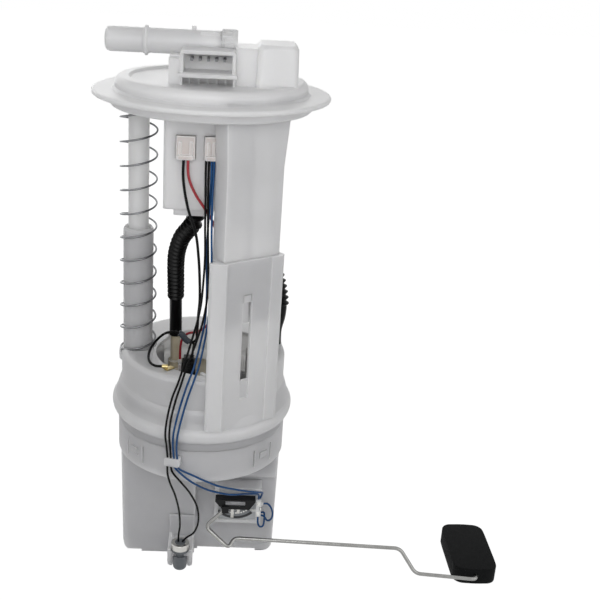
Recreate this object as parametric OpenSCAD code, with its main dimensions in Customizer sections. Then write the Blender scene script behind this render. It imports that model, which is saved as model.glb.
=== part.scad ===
// In-tank fuel pump module: a cover that seats on the tank, sprung and telescoping on a reservoir.
// Origin at the middle of the reservoir's foot, +Z up, -Y towards the level sender.

/* [Cover] */
// Height of the tank seat above the foot, fully extended
seat_height = 311; // [308:1:330]
// Diameter of the rim that lies on the tank
rim_d = 140; // [134:1:150]
// Thickness of the rim
rim_t = 3; // [2:0.5:4]
// Diameter of the spigot that drops into the tank opening
spigot_d = 119; // [118:0.5:121]
// Depth of the spigot under the seat
spigot_h = 6; // [4:0.5:8]
// Wall of the spigot
spigot_wall = 2.5; // [2:0.25:3]
// Diameter of the raised top
dome_d = 113; // [112:0.5:116]
// Height of the raised top above the seat
dome_h = 10.5; // [8:0.5:12]
// Depth of the dished middle of the raised top
dish_h = 1.5; // [0.5:0.25:2]
// Thickness of the top plate
plate_t = 3.5; // [3:0.25:4]

/* [Outlet pipe] */
// Outer diameter of the outlet pipe
pipe_d = 14; // [12:0.5:15]
// Bore of the outlet pipe
pipe_bore = 7.6; // [6:0.2:9]
// Height of the pipe's axis above the seat
pipe_rise = 30; // [29:0.5:33]
// Reach of the pipe's tip from the module's axis
pipe_reach = 61.5; // [58:0.5:68]
// Diameter of the bead that holds the hose
bead_d = 17; // [16:0.5:19]
// Distance of the bead from the pipe's tip
bead_back = 23.5; // [20:0.5:28]

/* [Connector] */
// Number of terminal pins
pin_count = 5; // [2:1:5]
// Pitch of the pins
pin_pitch = 4.6; // [4:0.1:5]
// Width of a pin
pin_w = 1.5; // [1:0.1:2]
// Width inside the socket
socket_w = 27; // [25:0.5:28]
// Height inside the socket
socket_h = 10; // [9:0.5:11]
// Depth of the socket
socket_depth = 16; // [12:0.5:18]
// Wall of the socket
socket_wall = 2; // [1.5:0.25:2.5]

/* [Regulator] */
// Diameter of the pressure regulator's can
regulator_d = 15; // [13:0.5:16]
// Height of the pressure regulator
regulator_h = 24; // [20:0.5:25]

/* [Guide rod and spring] */
// Distance of the guide rod from the module's axis
rod_offset = 42.5; // [41.5:0.5:43]
// Diameter of the guide rod
rod_d = 12.5; // [11:0.5:13]
// Length of the guide rod under the top plate
rod_length = 100.5; // [94:0.5:104]
// Outer diameter of the guide tube
tube_d = 18.6; // [18:0.2:19]
// Bore of the guide tube
tube_bore = 15; // [14.2:0.2:15.6]
// Height of the guide tube's mouth
tube_top = 229; // [224:1:232]
// Mean diameter of the spring
spring_d = 22; // [21.6:0.2:23]
// Thickness of the spring's wire
spring_wire = 1.2; // [1:0.1:1.5]
// Turns of the spring, closed ends included
spring_turns = 12.5; // [10.5:1:14.5]
// Height of the spring's seat on the lid
spring_seat = 146; // [144:0.5:149]
// Travel of the cover from fully extended to fully pressed down
travel = 50; // [40:1:52]

/* [Guide leg and channel] */
// Turn of the leg about the module's axis
leg_angle = 33; // [30:1:36]
// Width of the leg
leg_w = 38; // [36:0.2:39]
// Depth of the leg
leg_depth = 12.6; // [10:0.2:14]
// Distance of the leg's outer face from the module's axis
leg_out = 52.1; // [51.5:0.1:52.3]
// Wall of the leg
leg_wall = 2.2; // [1.8:0.1:2.6]
// Height of the leg's lower end, fully extended
leg_bottom = 186; // [184:1:190]
// Thickness of the channel's web
web_t = 2.2; // [2:0.1:2.4]
// Height of the channel's top
channel_top = 226; // [220:1:230]
// Width of the slot in the web
slot_w = 6; // [5:0.1:7]
// Gap between the leg and the channel
slide_gap = 0.3; // [0.2:0.05:0.5]

/* [Filter housing] */
// Width of the housing under the cover
housing_w = 35; // [33:0.5:36]
// Depth of the housing from front to back
housing_depth = 30; // [26:0.5:32]
// Height of the housing under the top plate
housing_h = 68.5; // [60:0.5:72]

/* [Reservoir] */
// Diameter of the cup's ring
cup_d = 109; // [108:0.5:110]
// Diameter of the cup at its foot
foot_d = 104; // [100:0.5:106]
// Wall of the mouldings
wall = 2.2; // [1.8:0.1:2.6]
// Height of the ledge over the flat front
ledge_z = 82; // [78:0.5:84]
// Height of the seam between the cup and its lid
seam_z = 103; // [101:0.5:105]
// Distance of the left front panel from the axis
left_panel = 14; // [12:0.5:16]
// Distance of the right front panel from the axis
right_panel = 9; // [8:0.5:10]
// Diameter of the lid's collar
collar_d = 117; // [116:0.5:118]
// Diameter of the lid's neck
neck_d = 105; // [104:0.5:106]
// Height of the neck's rim
neck_top = 150; // [148:0.5:152]
// Radius of the round opening in the lid
mouth_r = 38; // [34:0.5:39]

/* [Pump] */
// Diameter of the pump's shell
pump_d = 38; // [34:0.5:38]
// Height of the shell's lower edge
shell_bottom = 30; // [28:1:34]
// Height of the shell's upper edge
shell_top = 104; // [98:1:108]
// Diameter of the rotor's shaft
shaft_d = 4; // [3:0.25:5]
// Diameter of the armature
armature_d = 25; // [20:0.5:26]
// Radial clearance of the shaft in its bearings
shaft_fit = 0.05; // [0.02:0.01:0.09]

/* [Level sender] */
// Distance of the sender's pivot to the right of the axis
pivot_x = 25; // [22:0.5:26]
// Height of the sender's pivot
pivot_z = 51; // [49:0.5:53]
// Diameter of the pivot pin
pivot_d = 4; // [3:0.2:5]
// Thickness of the arm's wire
arm_d = 2.5; // [2:0.1:3]
// Length of the float across the arm
float_l = 52; // [44:1:56]
// Width of the float
float_w = 29; // [24:1:32]
// Thickness of the float
float_t = 11.5; // [10:0.5:13]

/* [Thermistor] */
// Diameter of the thermistor's capsule
capsule_d = 10; // [8:0.5:11]
// Diameter of the groove that the bracket grips
capsule_neck_d = 7.6; // [6:0.2:7.8]

/* [Hoses and leads] */
// Outer diameter of the corrugated hoses over the ribs
hose_d = 9.6; // [8:0.1:10]
// Diameter of a signal lead over its insulation
lead_d = 1.3; // [1:0.1:1.5]
// Diameter of a power lead over its insulation
power_lead_d = 1.6; // [1.2:0.1:2]

/* [Hidden] */

$fn = 96;
eps = 0.01;
fit = 0.05;
part_gap = 0.3;

// Cover heights, all measured from the seat
seat_z = seat_height;
dome_z = seat_z + dome_h;
dish_z = dome_z - dish_h;
plate_z = dish_z - plate_t;
spigot_in = spigot_d / 2 - spigot_wall;
haunch = 3;
pipe_z = seat_z + pipe_rise;
pipe_y = -4;
block_left = -24;
block_right = 14;
block_front = -14;
block_back = 9;
block_z = pipe_z - pipe_d / 2 + 1;
end_cap_t = 9;
end_cap_r = pipe_d / 2 + 1;
socket_x = -2;
socket_z = dome_z + 11;
socket_front = -29;
socket_out_w = socket_w + 2 * socket_wall;
socket_out_h = socket_h + 2 * socket_wall;
pin_z = socket_z + 1.5;
head_left = 25;
head_right = 49;
head_front = -26;
head_back = 6;
head_z = plate_z + regulator_h + 3;
regulator_x = (head_left + head_right) / 2;
regulator_y = (head_front + head_back) / 2 + 0.5;
regulator_cord = 2.1;
regulator_flange = 11;
clip_t = 1;

// Guide rod and tube
rod_x = -rod_offset;
boss_h = 9;
boss_r = rod_d / 2 + 3;
rod_foot = plate_z - rod_length;
ring_t = 4;
ring_r = tube_bore / 2 - part_gap;
tube_floor = neck_top - 8;
spring_r = spring_d / 2;
spring_low = spring_seat + spring_wire / 2;
spring_high = plate_z - spring_wire / 2;
spring_seat_r = spring_r + spring_wire / 2 + 0.4;

// Leg and channel, in a frame whose -y axis points out through the web
leg_half = leg_w / 2;
leg_back = leg_out - leg_depth;
channel_half = leg_half + slide_gap;
web_in = leg_out + slide_gap;
web_out = web_in + web_t;
flare_z = channel_top + travel + 2;
channel_foot = seam_z + 16;
corner_r = 13;
leg_shift = -1.2;
flare_left = 1.4;
flare_right = 3.6;
tab_x = -3.2;
tab_h = 4.6;
tab_top = leg_bottom + 18.6;
slot_end_gap = 0.4;
slot_top = tab_top + slot_end_gap;
slot_bottom = tab_top - tab_h - travel - slot_end_gap;
slot_recess_h = 12;

// Filter housing
housing_left = -25;
housing_right = housing_left + housing_w;
housing_front = -40;
housing_back = housing_front + housing_depth;
housing_bottom = plate_z - housing_h;
housing_wall = 2;
plug_drop = 28.5;
plug_z = plate_z - plug_drop;
plug_h = 13;
plug_back = 5.7;
plug_front = 1.5;
power_plug_x = -12.5;
power_plug_w = 10.6;
sender_plug_x = 1.8;
sender_plug_w = 7.6;
spigot_x = -7;
barb_reach = 6;
spigot_y = -26;

// Reservoir
cup_r = cup_d / 2;
foot_r = foot_d / 2;
ledge_r = cup_r - 1.5;
spigot_r = cup_r - 1.1;
collar_r = collar_d / 2;
neck_r = neck_d / 2;
collar_z = seam_z + 11;
shoulder_z = seam_z + 26;
floor_t = 2.5;
valve_x = 24;
valve_y = 26;
valve_recess = 1;
panel_split = -2;
right_panel_top = 62;
mouth_x = 8;
mouth_y = -8;
window_w = 7;
window_h = 5;
window_z = 90;
latch_slot_w = 1.4;
latch_slot_x = window_w / 2 + 4.2;
tongue_half = window_w / 2 + 2.2;
window_angles = [-138, -42, 48, 132];
clip_angle = -105.4;
clip_half = 4.8;
clip_low = 94;
clip_high = 99.5;
tab_angle = -134;
crimp_r = 1.3;

// Pump
pump_x = -8;
pump_y = 16;
pump_r = pump_d / 2;
shell_t = 1.5;
outlet_top = 126;
seal_grip = 8;
seal_top = outlet_top - 4;
nipple_x = -19.5;
nipple_y = 19;
nipple_top = 156;
nipple_r = 3.2;
seal_r = pump_r + 3;
socket_plug_x = -9.5;
socket_plug_y = 2;
socket_plug_half = 4.4;
plug_foot = outlet_top + 3;
plug_top = plug_foot + 12;
feed_x = -15.3;
holder_in = pump_r + 0.6;
holder_out = holder_in + wall;
inlet_neck = 6;
strainer_z = floor_t + 1.6;
strainer_h = 9;

// Hoses
hose_r = hose_d / 2;
hose_bore = nipple_r + fit;
cuff_r = 4.5;
return_x = 46;
return_y = 5;
return_top_x = 24;
return_top_y = 10;
barb_h = 9;

// Sender
sender_left = 12;
sender_right = 42;
sender_low = 33;
sender_high = 57;
card_y = -22;
card_t = 1;
hub_y = -24;
hub_t = 6;
pin_tail = -13;

// Thermistor
capsule_x = -10.7;
capsule_y = -32;
capsule_foot = 0.4;
plate_low = 12;
plate_high = 15;
capsule_top = 21.5;
bracket_left = -19;
bracket_right = -2.4;
bracket_front = -35;
apron_y = -31;
apron_t = 1.8;

// Routes of hoses and leads, chosen by hand
supply_route = [
    [-7, -26, 248], [-7, -26, 242], [-9.8, -23, 236.5], [-14.8, -16.5, 228], [-18, -9, 216.5],
    [-19, -2, 205], [-19.2, 5.5, 191], [-19.4, 12, 177], [-19.5, 17, 165], [-19.5, 19, 157],
    [-19.5, 19, 149]
];
return_route = [
    [46, 5, 152], [46, 5, 162], [48, 5.5, 172], [48, 6, 182], [45, 7, 196], [38.5, 8.5, 214],
    [32, 9.5, 232], [27, 10, 254], [24, 10, 275], [24, 10, 291], [24, 10, 306], [24, 10, 315]
];
black_route_a = [
    [-0.9, -42.5, 281.5], [-0.9, -42.9, 272], [-0.6, -43.5, 262], [-0.3, -44.6, 244], [0.2, -45.8, 227],
    [-0.2, -47, 212], [-1.5, -48.5, 195], [-5.5, -49.5, 177], [-9.8, -51.8, 161], [-13, -54.5, 150],
    [-16.5, -56.5, 140], [-19, -58, 128], [-20, -58.8, 117], [-19.2, -57.8, 108], [-18.6, -56, 99.5]
];
black_route_b = [
    [0.7, -42.5, 281.5], [0.7, -42.9, 272], [0.9, -43.8, 260], [1.4, -44.9, 242], [2.2, -45.6, 222],
    [2.6, -45.8, 205], [0.3, -46.4, 187], [-4, -47.5, 171], [-8.5, -50.5, 158], [-11.5, -54.3, 148],
    [-14.5, -57, 138], [-16.8, -58.6, 127], [-17.6, -59.4, 117], [-17, -58.5, 108], [-16.6, -56.6, 99.5]
];
blue_route_a = [
    [2.3, -42.5, 281.5], [2.3, -42.4, 270], [1.9, -42.4, 256], [1.2, -42.5, 238], [1.2, -42.6, 220],
    [1.8, -42.3, 203], [1.4, -42, 186], [-1, -43.5, 171], [-4, -49, 158], [-7, -54, 150.5],
    [-10, -56.8, 141], [-12.8, -58.8, 130], [-15, -60, 118], [-15.2, -59.2, 108], [-14.6, -57.1, 99.5]
];
blue_route_b = [
    [3.8, -42.5, 281.5], [3.6, -43.1, 272], [3.3, -45.4, 258], [3.6, -47.4, 241], [4.2, -48, 222],
    [4.2, -47.9, 205], [3.2, -46.6, 187], [1.5, -46, 173], [-1, -50.5, 160], [-4, -55.6, 151],
    [-7.2, -58, 141], [-10, -59.8, 130], [-12.4, -60.8, 118], [-13, -59.8, 108], [-12.6, -57.6, 99.5]
];
red_route = [
    [-11, -42.5, 281.5], [-10.4, -43, 272], [-6.5, -43.2, 262.5], [-0.5, -41.4, 253], [4.5, -38.6, 243.5],
    [8, -36, 230], [9, -31.5, 214], [8.5, -26.5, 198], [6.5, -20, 183], [2.5, -12.5, 170.5],
    [-3.5, -5.5, 162.3], [-9.5, -1.8, 159.2], [-13.4, -0.8, 156], [-14.9, -0.3, 150.5],
    [-15.3, 2, 145], [-15.3, 2, 139]
];
black_route_c = [
    [-13.5, -42.5, 281.5], [-13.3, -43.2, 270], [-10.5, -44.5, 255], [-5.5, -45.8, 240],
    [-3.5, -45.8, 226], [-2.5, -45, 212], [-2.2, -42, 198], [-3, -36, 186], [-3.5, -27, 175],
    [-4.2, -16, 165.5], [-4.6, -9, 158.5], [-6.6, -6.3, 155.2], [-9.3, -5.9, 154.3]
];
black_tail_a = [
    [-18.6, -56, 94], [-18.4, -56.2, 88], [-16.8, -54.4, 80], [-14, -48.5, 68], [-11.6, -41.5, 52],
    [-11, -36, 37], [-11.8, -33, 28], [-12, -32, 21.5]
];
black_tail_b = [
    [-16.6, -56.6, 94], [-15.2, -56.6, 89], [-10.5, -54.5, 81.5], [-4.5, -48.5, 69.5], [0, -43, 56],
    [1, -39.5, 43], [-1.5, -36, 32], [-6.5, -33, 25.5], [-9.2, -32, 21.5]
];
blue_tail_a = [
    [-14.6, -57.1, 94], [-12.2, -57.4, 91], [-6.5, -56.4, 85], [0, -53.2, 78.5], [8, -48.5, 72],
    [20, -42, 65.5], [31, -34.5, 61.5], [38, -28.5, 58], [40, -25.2, 55], [40, -23.8, 51]
];
blue_tail_b = [
    [-12.6, -57.6, 94], [-10.2, -57.8, 91.8], [-2.5, -56.6, 87.4], [6, -55.2, 82.5], [14.5, -50.5, 76.4],
    [29.5, -40.3, 67.5], [38, -33.5, 62.5], [42, -28, 58.8], [42, -24.5, 55.2], [41.2, -22.6, 51]
];
ground_route_a = [
    [-7.5, 2, 141], [-7, 1, 146], [-6.4, -3.5, 152.5], [-9.3, -4, 154.7]
];
ground_route_b = [
    [-16, -5, 160.3], [-19.5, -5.2, 161.3], [-25, -6.5, 160.2], [-30, -11, 157], [-33, -18, 154],
    [-33.4, -26, 152.4], [-31.6, -33.3, 152.1], [-28.3, -37.3, 152], [-24.1, -37.6, 151.9]
];
sleeve_route = [
    [-9.3, -5, 154.5], [-11.5, -5, 156], [-14, -5, 159.3], [-16, -5, 160.3]
];
jumper_route_a = [
    [43.4, -23, 47.1], [46.3, -23.2, 47.2], [48.8, -23, 44], [50, -22.5, 39], [49.2, -21, 33.8],
    [46.8, -19.4, 31.8], [44.6, -19, 34.6], [42, -19, 35.5]
];
jumper_route_b = [
    [40.2, -24.1, 38], [40.4, -24.2, 33], [41.6, -24, 30], [43.8, -22, 28.8], [44.8, -19, 30.5],
    [44.6, -17, 36], [42, -17, 36]
];
arm_route = [
    [18.5, -29.3, 46.4], [5.6, -32, 34], [21.6, -40, 23], [24.5, -34, 27], [134.7, -38, 26],
    [146, -42, 9.5], [185.5, -44.5, 8.3], [187.5, -41, 8.3]
];

// Vector and route helpers
function unit(v) = v / norm(v);
function mix(a, b, t) = a * (1 - t) + b * t;
function tangents(p) = [
    for (i = [0:len(p) - 1]) unit(p[min(i + 1, len(p) - 1)] - p[max(i - 1, 0)])
];
function carry(normal, t) = unit(normal - t * (normal * t));
function normals(t, first) = [
    for (i = 0, n = carry(first, t[0]); i < len(t); i = i + 1,
        n = i < len(t) ? carry(n, t[i]) : n) n
];
function spline_point(p, i, t) =
    let (a = p[max(i - 1, 0)], b = p[i], c = p[i + 1], d = p[min(i + 2, len(p) - 1)])
    0.5 * ((2 * b) + (c - a) * t + (2 * a - 5 * b + 4 * c - d) * t * t
    + (3 * b - a - 3 * c + d) * t * t * t);
function spline(p, steps) = [
    for (i = [0:len(p) - 2]) for (k = [0:steps - 1]) spline_point(p, i, k / steps),
    p[len(p) - 1]
];
function bent(p, reach, steps) = [
    p[0],
    for (i = [1:len(p) - 2])
        let (
            a = p[i] + unit(p[i - 1] - p[i]) * min(reach, norm(p[i - 1] - p[i]) / 2.2),
            b = p[i] + unit(p[i + 1] - p[i]) * min(reach, norm(p[i + 1] - p[i]) / 2.2)
        )
        for (k = [0:steps]) mix(mix(a, p[i], k / steps), mix(p[i], b, k / steps), k / steps),
    p[len(p) - 1]
];
function arc(cx, cy, r, from, to, steps) = [
    for (k = [0:steps]) let (a = from + (to - from) * k / steps) [cx + r * cos(a), cy + r * sin(a)]
];

// An end that runs nearly along an axis is cut square to it
function level(v) =
    let (snapped = [for (c = v) abs(c) > 0.72 ? sign(c) : 0])
    norm(snapped) == 1 ? snapped : v;
function level_ends(t) = [
    for (i = [0:len(t) - 1]) i == 0 || i == len(t) - 1 ? level(t[i]) : t[i]
];

// Tube along a route, with a radius for each ring
module swept(route, radii, sides) {
    t = level_ends(tangents(route));
    n = normals(t, abs(t[0].z) > 0.9 ? [1, 0, 0] : [0, 0, 1]);
    rings = len(route);
    points = [
        for (i = [0:rings - 1]) for (k = [0:sides - 1])
            let (a = 360 * k / sides, b = cross(t[i], n[i]))
            route[i] + radii[i] * (cos(a) * n[i] + sin(a) * b)
    ];
    walls = [
        for (i = [0:rings - 2]) for (k = [0:sides - 1])
            let (j = (k + 1) % sides)
            each [
                [i * sides + k, (i + 1) * sides + j, i * sides + j],
                [i * sides + k, (i + 1) * sides + k, (i + 1) * sides + j]
            ]
    ];
    low = [for (k = [0:sides - 1]) k];
    high = [for (k = [sides - 1:-1:0]) (rings - 1) * sides + k];
    polyhedron(points, concat(walls, [low, high]), convexity = 10);
}

module tube(route, d, sides = 8) {
    swept(route, [for (i = [0:len(route) - 1]) d / 2], sides);
}

module lead(route) {
    tube(spline(route, 2), lead_d);
}

module power_lead(route) {
    tube(spline(route, 2), power_lead_d);
}

// Box from corner to corner
module block(low, high) {
    translate(low) cube(high - low);
}

module at_leg() {
    rotate([0, 0, leg_angle]) translate([leg_shift, 0, 0]) children();
}

// Upright rounded bar with its corners as true arcs
module rounded_bar(low, high, r) {
    translate([0, 0, low.z]) linear_extrude(high.z - low.z) {
        polygon(concat(
            arc(high.x - r, high.y - r, r, 0, 90, 8),
            arc(low.x + r, high.y - r, r, 90, 180, 8),
            arc(low.x + r, low.y + r, r, 180, 270, 8),
            arc(high.x - r, low.y + r, r, 270, 360, 8)
        ));
    }
}

// Cover sub-parts
module cover_disc() {
    edge_r = rim_t / 2;
    lip_r = 4;
    dome_r = dome_d / 2;
    spigot_or = spigot_d / 2;
    rotate_extrude($fn = 180) polygon(concat(
        [[0, plate_z], [spigot_in - haunch, plate_z], [spigot_in, seat_z]],
        [[spigot_in, seat_z - spigot_h], [spigot_or - 1, seat_z - spigot_h]],
        [[spigot_or, seat_z - spigot_h + 1], [spigot_or, seat_z]],
        arc(rim_d / 2 - edge_r, seat_z + edge_r, edge_r, -90, 90, 8),
        [[dome_r + 1.5, seat_z + rim_t], [dome_r, seat_z + rim_t + 1.2]],
        arc(dome_r - lip_r, dome_z - lip_r, lip_r, 0, 90, 6),
        [[dome_r - 8, dome_z], [dome_r - 9.5, dish_z], [0, dish_z]]
    ));
}

module outlet_pipe() {
    tip_r = 3;
    translate([0, pipe_y, pipe_z]) rotate([0, -90, 0]) rotate_extrude($fn = 72) polygon(concat(
        [[0, -block_right + end_cap_t], [pipe_d / 2, -block_right + end_cap_t]],
        [[pipe_d / 2, pipe_reach - bead_back - 2.2]],
        arc(bead_d / 2 - 1.2, pipe_reach - bead_back, 1.2, -90, 90, 6),
        [[pipe_d / 2, pipe_reach - bead_back + 2.2]],
        arc(pipe_d / 2 - tip_r, pipe_reach - tip_r, tip_r, 0, 90, 6),
        [[0, pipe_reach]]
    ));
}

module connector_shroud() {
    half = socket_out_w / 2;
    low = socket_z - socket_out_h / 2;
    lip = 2.2;
    difference() {
        union() {
            translate([0, block_front + 5, 0]) rotate([90, 0, 0]) rounded_bar(
                [socket_x - half, low, 0],
                [socket_x + half, low + socket_out_h, block_front + 5 - socket_front], 2);
            block([socket_x - half - 0.8, socket_front - lip, low - 0.6],
                [socket_x + half + 0.8, socket_front + 2.5, low + socket_wall - 0.4]);
        }
        block([socket_x - socket_w / 2, socket_front - lip - 1, low + socket_wall],
            [socket_x + socket_w / 2, socket_front + socket_depth, low + socket_wall + socket_h]);
    }
}

// Places of the pins, and the holes that hold them
module at_pins() {
    for (i = [0:pin_count - 1])
        translate([socket_x + (i - (pin_count - 1) / 2) * pin_pitch, 0, pin_z]) children();
}

module pin_bar(grow, front) {
    half = pin_w / 2 + grow;
    block([-half, front, -half], [half, block_front + 3, half]);
}

module connector_foot() {
    half = socket_out_w / 2;
    foot_top = socket_z - socket_out_h / 2 + eps;
    for (x = [socket_x - half, socket_x + half - 1.4])
        block([x, socket_front + 3, dish_z - 0.5], [x + 1.4, block_front + 1, foot_top]);
    for (i = [1:5])
        block([socket_x - half + i * socket_out_w / 6 - 0.5, socket_front + 9, dish_z - 0.5],
            [socket_x - half + i * socket_out_w / 6 + 0.5, block_front + 1, foot_top]);
}

module flange_cover() {
    color("whitesmoke") difference() {
        union() {
            cover_disc();
            outlet_pipe();
            block([block_left, block_front, dish_z - 0.5], [block_right, block_back, block_z]);
            block([block_left, socket_front + 6, dish_z - 0.5],
                [socket_x - socket_out_w / 2, block_front + 1, block_z - 1]);
            rounded_bar([block_right - 1, head_front + 5, dish_z - 0.5],
                [head_left + 3, head_back - 3, head_z - 2.5], 1.5);
            hull() {
                rounded_bar([head_left, head_front, dish_z - 0.5], [head_right, head_back, dish_z], 3);
                rounded_bar([head_left + 0.6, head_front + 0.6, head_z - 3],
                    [head_right - 0.6, head_back - 0.6, head_z - 2], 4);
                rounded_bar([head_left + 2.2, head_front + 2.2, head_z - 1],
                    [head_right - 2.2, head_back - 2.2, head_z], 4);
            }
            connector_shroud();
            connector_foot();
            translate([-11, pipe_y, pipe_z + pipe_d / 2 - 1]) cylinder(d = 2.6, h = 3, $fn = 24);
            block([-7, pipe_y - 5, pipe_z + 1], [4, pipe_y + 5, pipe_z + pipe_d / 2 - 0.6]);
            translate([rod_x, 0, plate_z - boss_h]) cylinder(r = boss_r, h = boss_h + 1, $fn = 64);
            translate([return_top_x, return_top_y, plate_z - barb_h])
                cylinder(r = nipple_r, h = barb_h + 1, $fn = 48);
        }
        translate([-pipe_reach - 1, pipe_y, pipe_z]) rotate([0, 90, 0])
            cylinder(d = pipe_bore, h = pipe_reach - 6, $fn = 48);
        translate([-11, pipe_y, plate_z - 1]) cylinder(d = 5, h = pipe_z - plate_z + 1, $fn = 32);
        translate([rod_x, 0, plate_z - boss_h - 1]) cylinder(r = rod_d / 2 + fit, h = boss_h + 1, $fn = 64);
        translate([regulator_x, regulator_y, plate_z - 1])
            cylinder(r = regulator_d / 2 + regulator_cord,
                h = regulator_flange + regulator_cord + 1, $fn = 64);
        translate([regulator_x, regulator_y, plate_z])
            cylinder(r = regulator_d / 2 + part_gap, h = regulator_h, $fn = 64);
        at_pins() pin_bar(0, socket_front);
        translate([block_right - end_cap_t, pipe_y, pipe_z]) rotate([0, 90, 0])
            cylinder(r = end_cap_r + 2 * part_gap, h = end_cap_t + part_gap, $fn = 64);
    }
}

module pipe_end_cap() {
    ribs = 14;
    color("whitesmoke")
    translate([block_right - end_cap_t, pipe_y, pipe_z]) rotate([0, 90, 0]) union() {
        cylinder(r = end_cap_r - 0.5, h = end_cap_t, $fn = 64);
        cylinder(r = end_cap_r, h = 1.5, $fn = 64);
        translate([0, 0, end_cap_t - 2.5]) cylinder(r = end_cap_r, h = 2.5, $fn = 64);
        for (i = [0:ribs - 1]) rotate([0, 0, 360 * i / ribs])
            block([end_cap_r - 1, -0.5, 0.5], [end_cap_r + 0.2, 0.5, end_cap_t - 1]);
    }
}

module terminal_pins() {
    color("goldenrod") at_pins() pin_bar(0, socket_front + 5);
}

module pressure_regulator() {
    r = regulator_d / 2;
    nose_r = 2.3;
    flange_r = r + regulator_cord - 0.1;
    color("silver") translate([regulator_x, regulator_y, plate_z]) rotate_extrude($fn = 72)
        polygon(concat(
            [[0, 0], [r - 3, 0], [r - 2, 1], [r - 2, 8], [flange_r, 9]],
            [[flange_r, regulator_flange], [r, regulator_flange]],
            arc(r - 4, regulator_h - 6, 4, 0, 90, 6),
            [[nose_r + 0.7, regulator_h - 2], [nose_r, regulator_h - 2]],
            [[nose_r, regulator_h - 0.2], [0, regulator_h - 0.2]]
        ));
}

module regulator_o_ring() {
    r = regulator_cord / 2;
    color("dimgray") translate([regulator_x, regulator_y, plate_z + regulator_flange + r])
        rotate_extrude($fn = 64) translate([regulator_d / 2 + r, 0]) circle(r = r, $fn = 24);
}

module regulator_clip() {
    r = regulator_d / 2 + regulator_cord + 1.2;
    color("silver") translate([regulator_x, regulator_y, plate_z - clip_t]) difference() {
        cylinder(r = r, h = clip_t, $fn = 64);
        translate([0, 0, -1]) cylinder(r = regulator_d / 2 - 4, h = clip_t + 2, $fn = 48);
        block([-2.4, -r - 1, -1], [2.4, 0, clip_t + 1]);
    }
}

module plug_pocket(x, w) {
    half = w / 2 + part_gap;
    block([x - half, housing_front - 1, plug_z - plug_h / 2],
        [x + half, housing_front + plug_back, plug_z + plug_h / 2 + part_gap]);
}

module filter_housing() {
    low = housing_bottom;
    w = housing_wall;
    step = 4;
    well = plug_back + 1.3;
    color("gainsboro") difference() {
        union() {
            rounded_bar([housing_left, housing_front, low + step],
                [housing_right, housing_back, plate_z], 2.5);
            rounded_bar([housing_left + 6, housing_front + 2, low],
                [housing_right - 6, housing_back - 3, low + step + 1], 2);
            translate([spigot_x, spigot_y, low - barb_reach])
                cylinder(r = nipple_r, h = barb_reach + 1, $fn = 48);
        }
        block([housing_left + w, housing_front + w + well, low + w + 3],
            [housing_right - w, housing_back - w, plate_z + 1]);
        translate([spigot_x, spigot_y, low - barb_reach - 1])
            cylinder(r = 1.8, h = barb_reach + 8, $fn = 32);
        plug_pocket(power_plug_x, power_plug_w);
        plug_pocket(sender_plug_x, sender_plug_w);
    }
}

module filter_element() {
    low = housing_bottom + housing_wall + 3;
    x0 = housing_left + housing_wall + 2;
    x1 = housing_right - housing_wall - 2;
    y0 = housing_front + housing_wall + plug_back + 3;
    y1 = housing_back - housing_wall - 2;
    pleats = 7;
    color("khaki") union() {
        block([x0, y0, low], [x1, y1, low + 2]);
        block([x0, y0, plate_z - 8], [x1, y1, plate_z - 6]);
        for (i = [0:pleats - 1]) {
            y = y0 + 1 + i * (y1 - y0 - 3) / (pleats - 1);
            block([x0 + 1, y, low + 2 - eps], [x1 - 1, y + 1, plate_z - 8 + eps]);
        }
    }
}

// Moulded lead housing with a skirt below, rails and an open top
module lead_plug(x, w) {
    low = plug_z - plug_h / 2;
    high = plug_z + plug_h / 2;
    front = housing_front - plug_front;
    rail = 1.5;
    color("ivory") difference() {
        union() {
            block([x - w / 2, front, low], [x + w / 2, housing_front + plug_back, high]);
            for (side = [x - w / 2 + rail, x + w / 2 - 2 * rail])
                block([side, front - 1, low + 2], [side + rail, front + 0.5, high - 3]);
            block([x - w / 2 + 1, front - 2, low], [x + w / 2 - 1, front + 0.5, low + 2.5]);
        }
        block([x - w / 2 + rail, housing_front - 0.2, high - 3],
            [x + w / 2 - rail, housing_front + 3.5, high + 1]);
    }
}

module power_plug() {
    lead_plug(power_plug_x, power_plug_w);
}

module sender_plug() {
    lead_plug(sender_plug_x, sender_plug_w);
}

// The leg keeps one width where the channel takes it in, and flares above that
module leg_outline(inset) {
    x = leg_half - inset;
    z0 = leg_bottom + inset;
    r = corner_r - inset;
    polygon(concat(
        [[-x - flare_left, plate_z - inset], [-x, flare_z], [-x, z0 + 1.5], [-x + 1.5, z0]],
        arc(x - r, z0 + r, r, 270, 360, 10),
        [[x, flare_z], [x + flare_right, plate_z - inset]]
    ));
}

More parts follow.
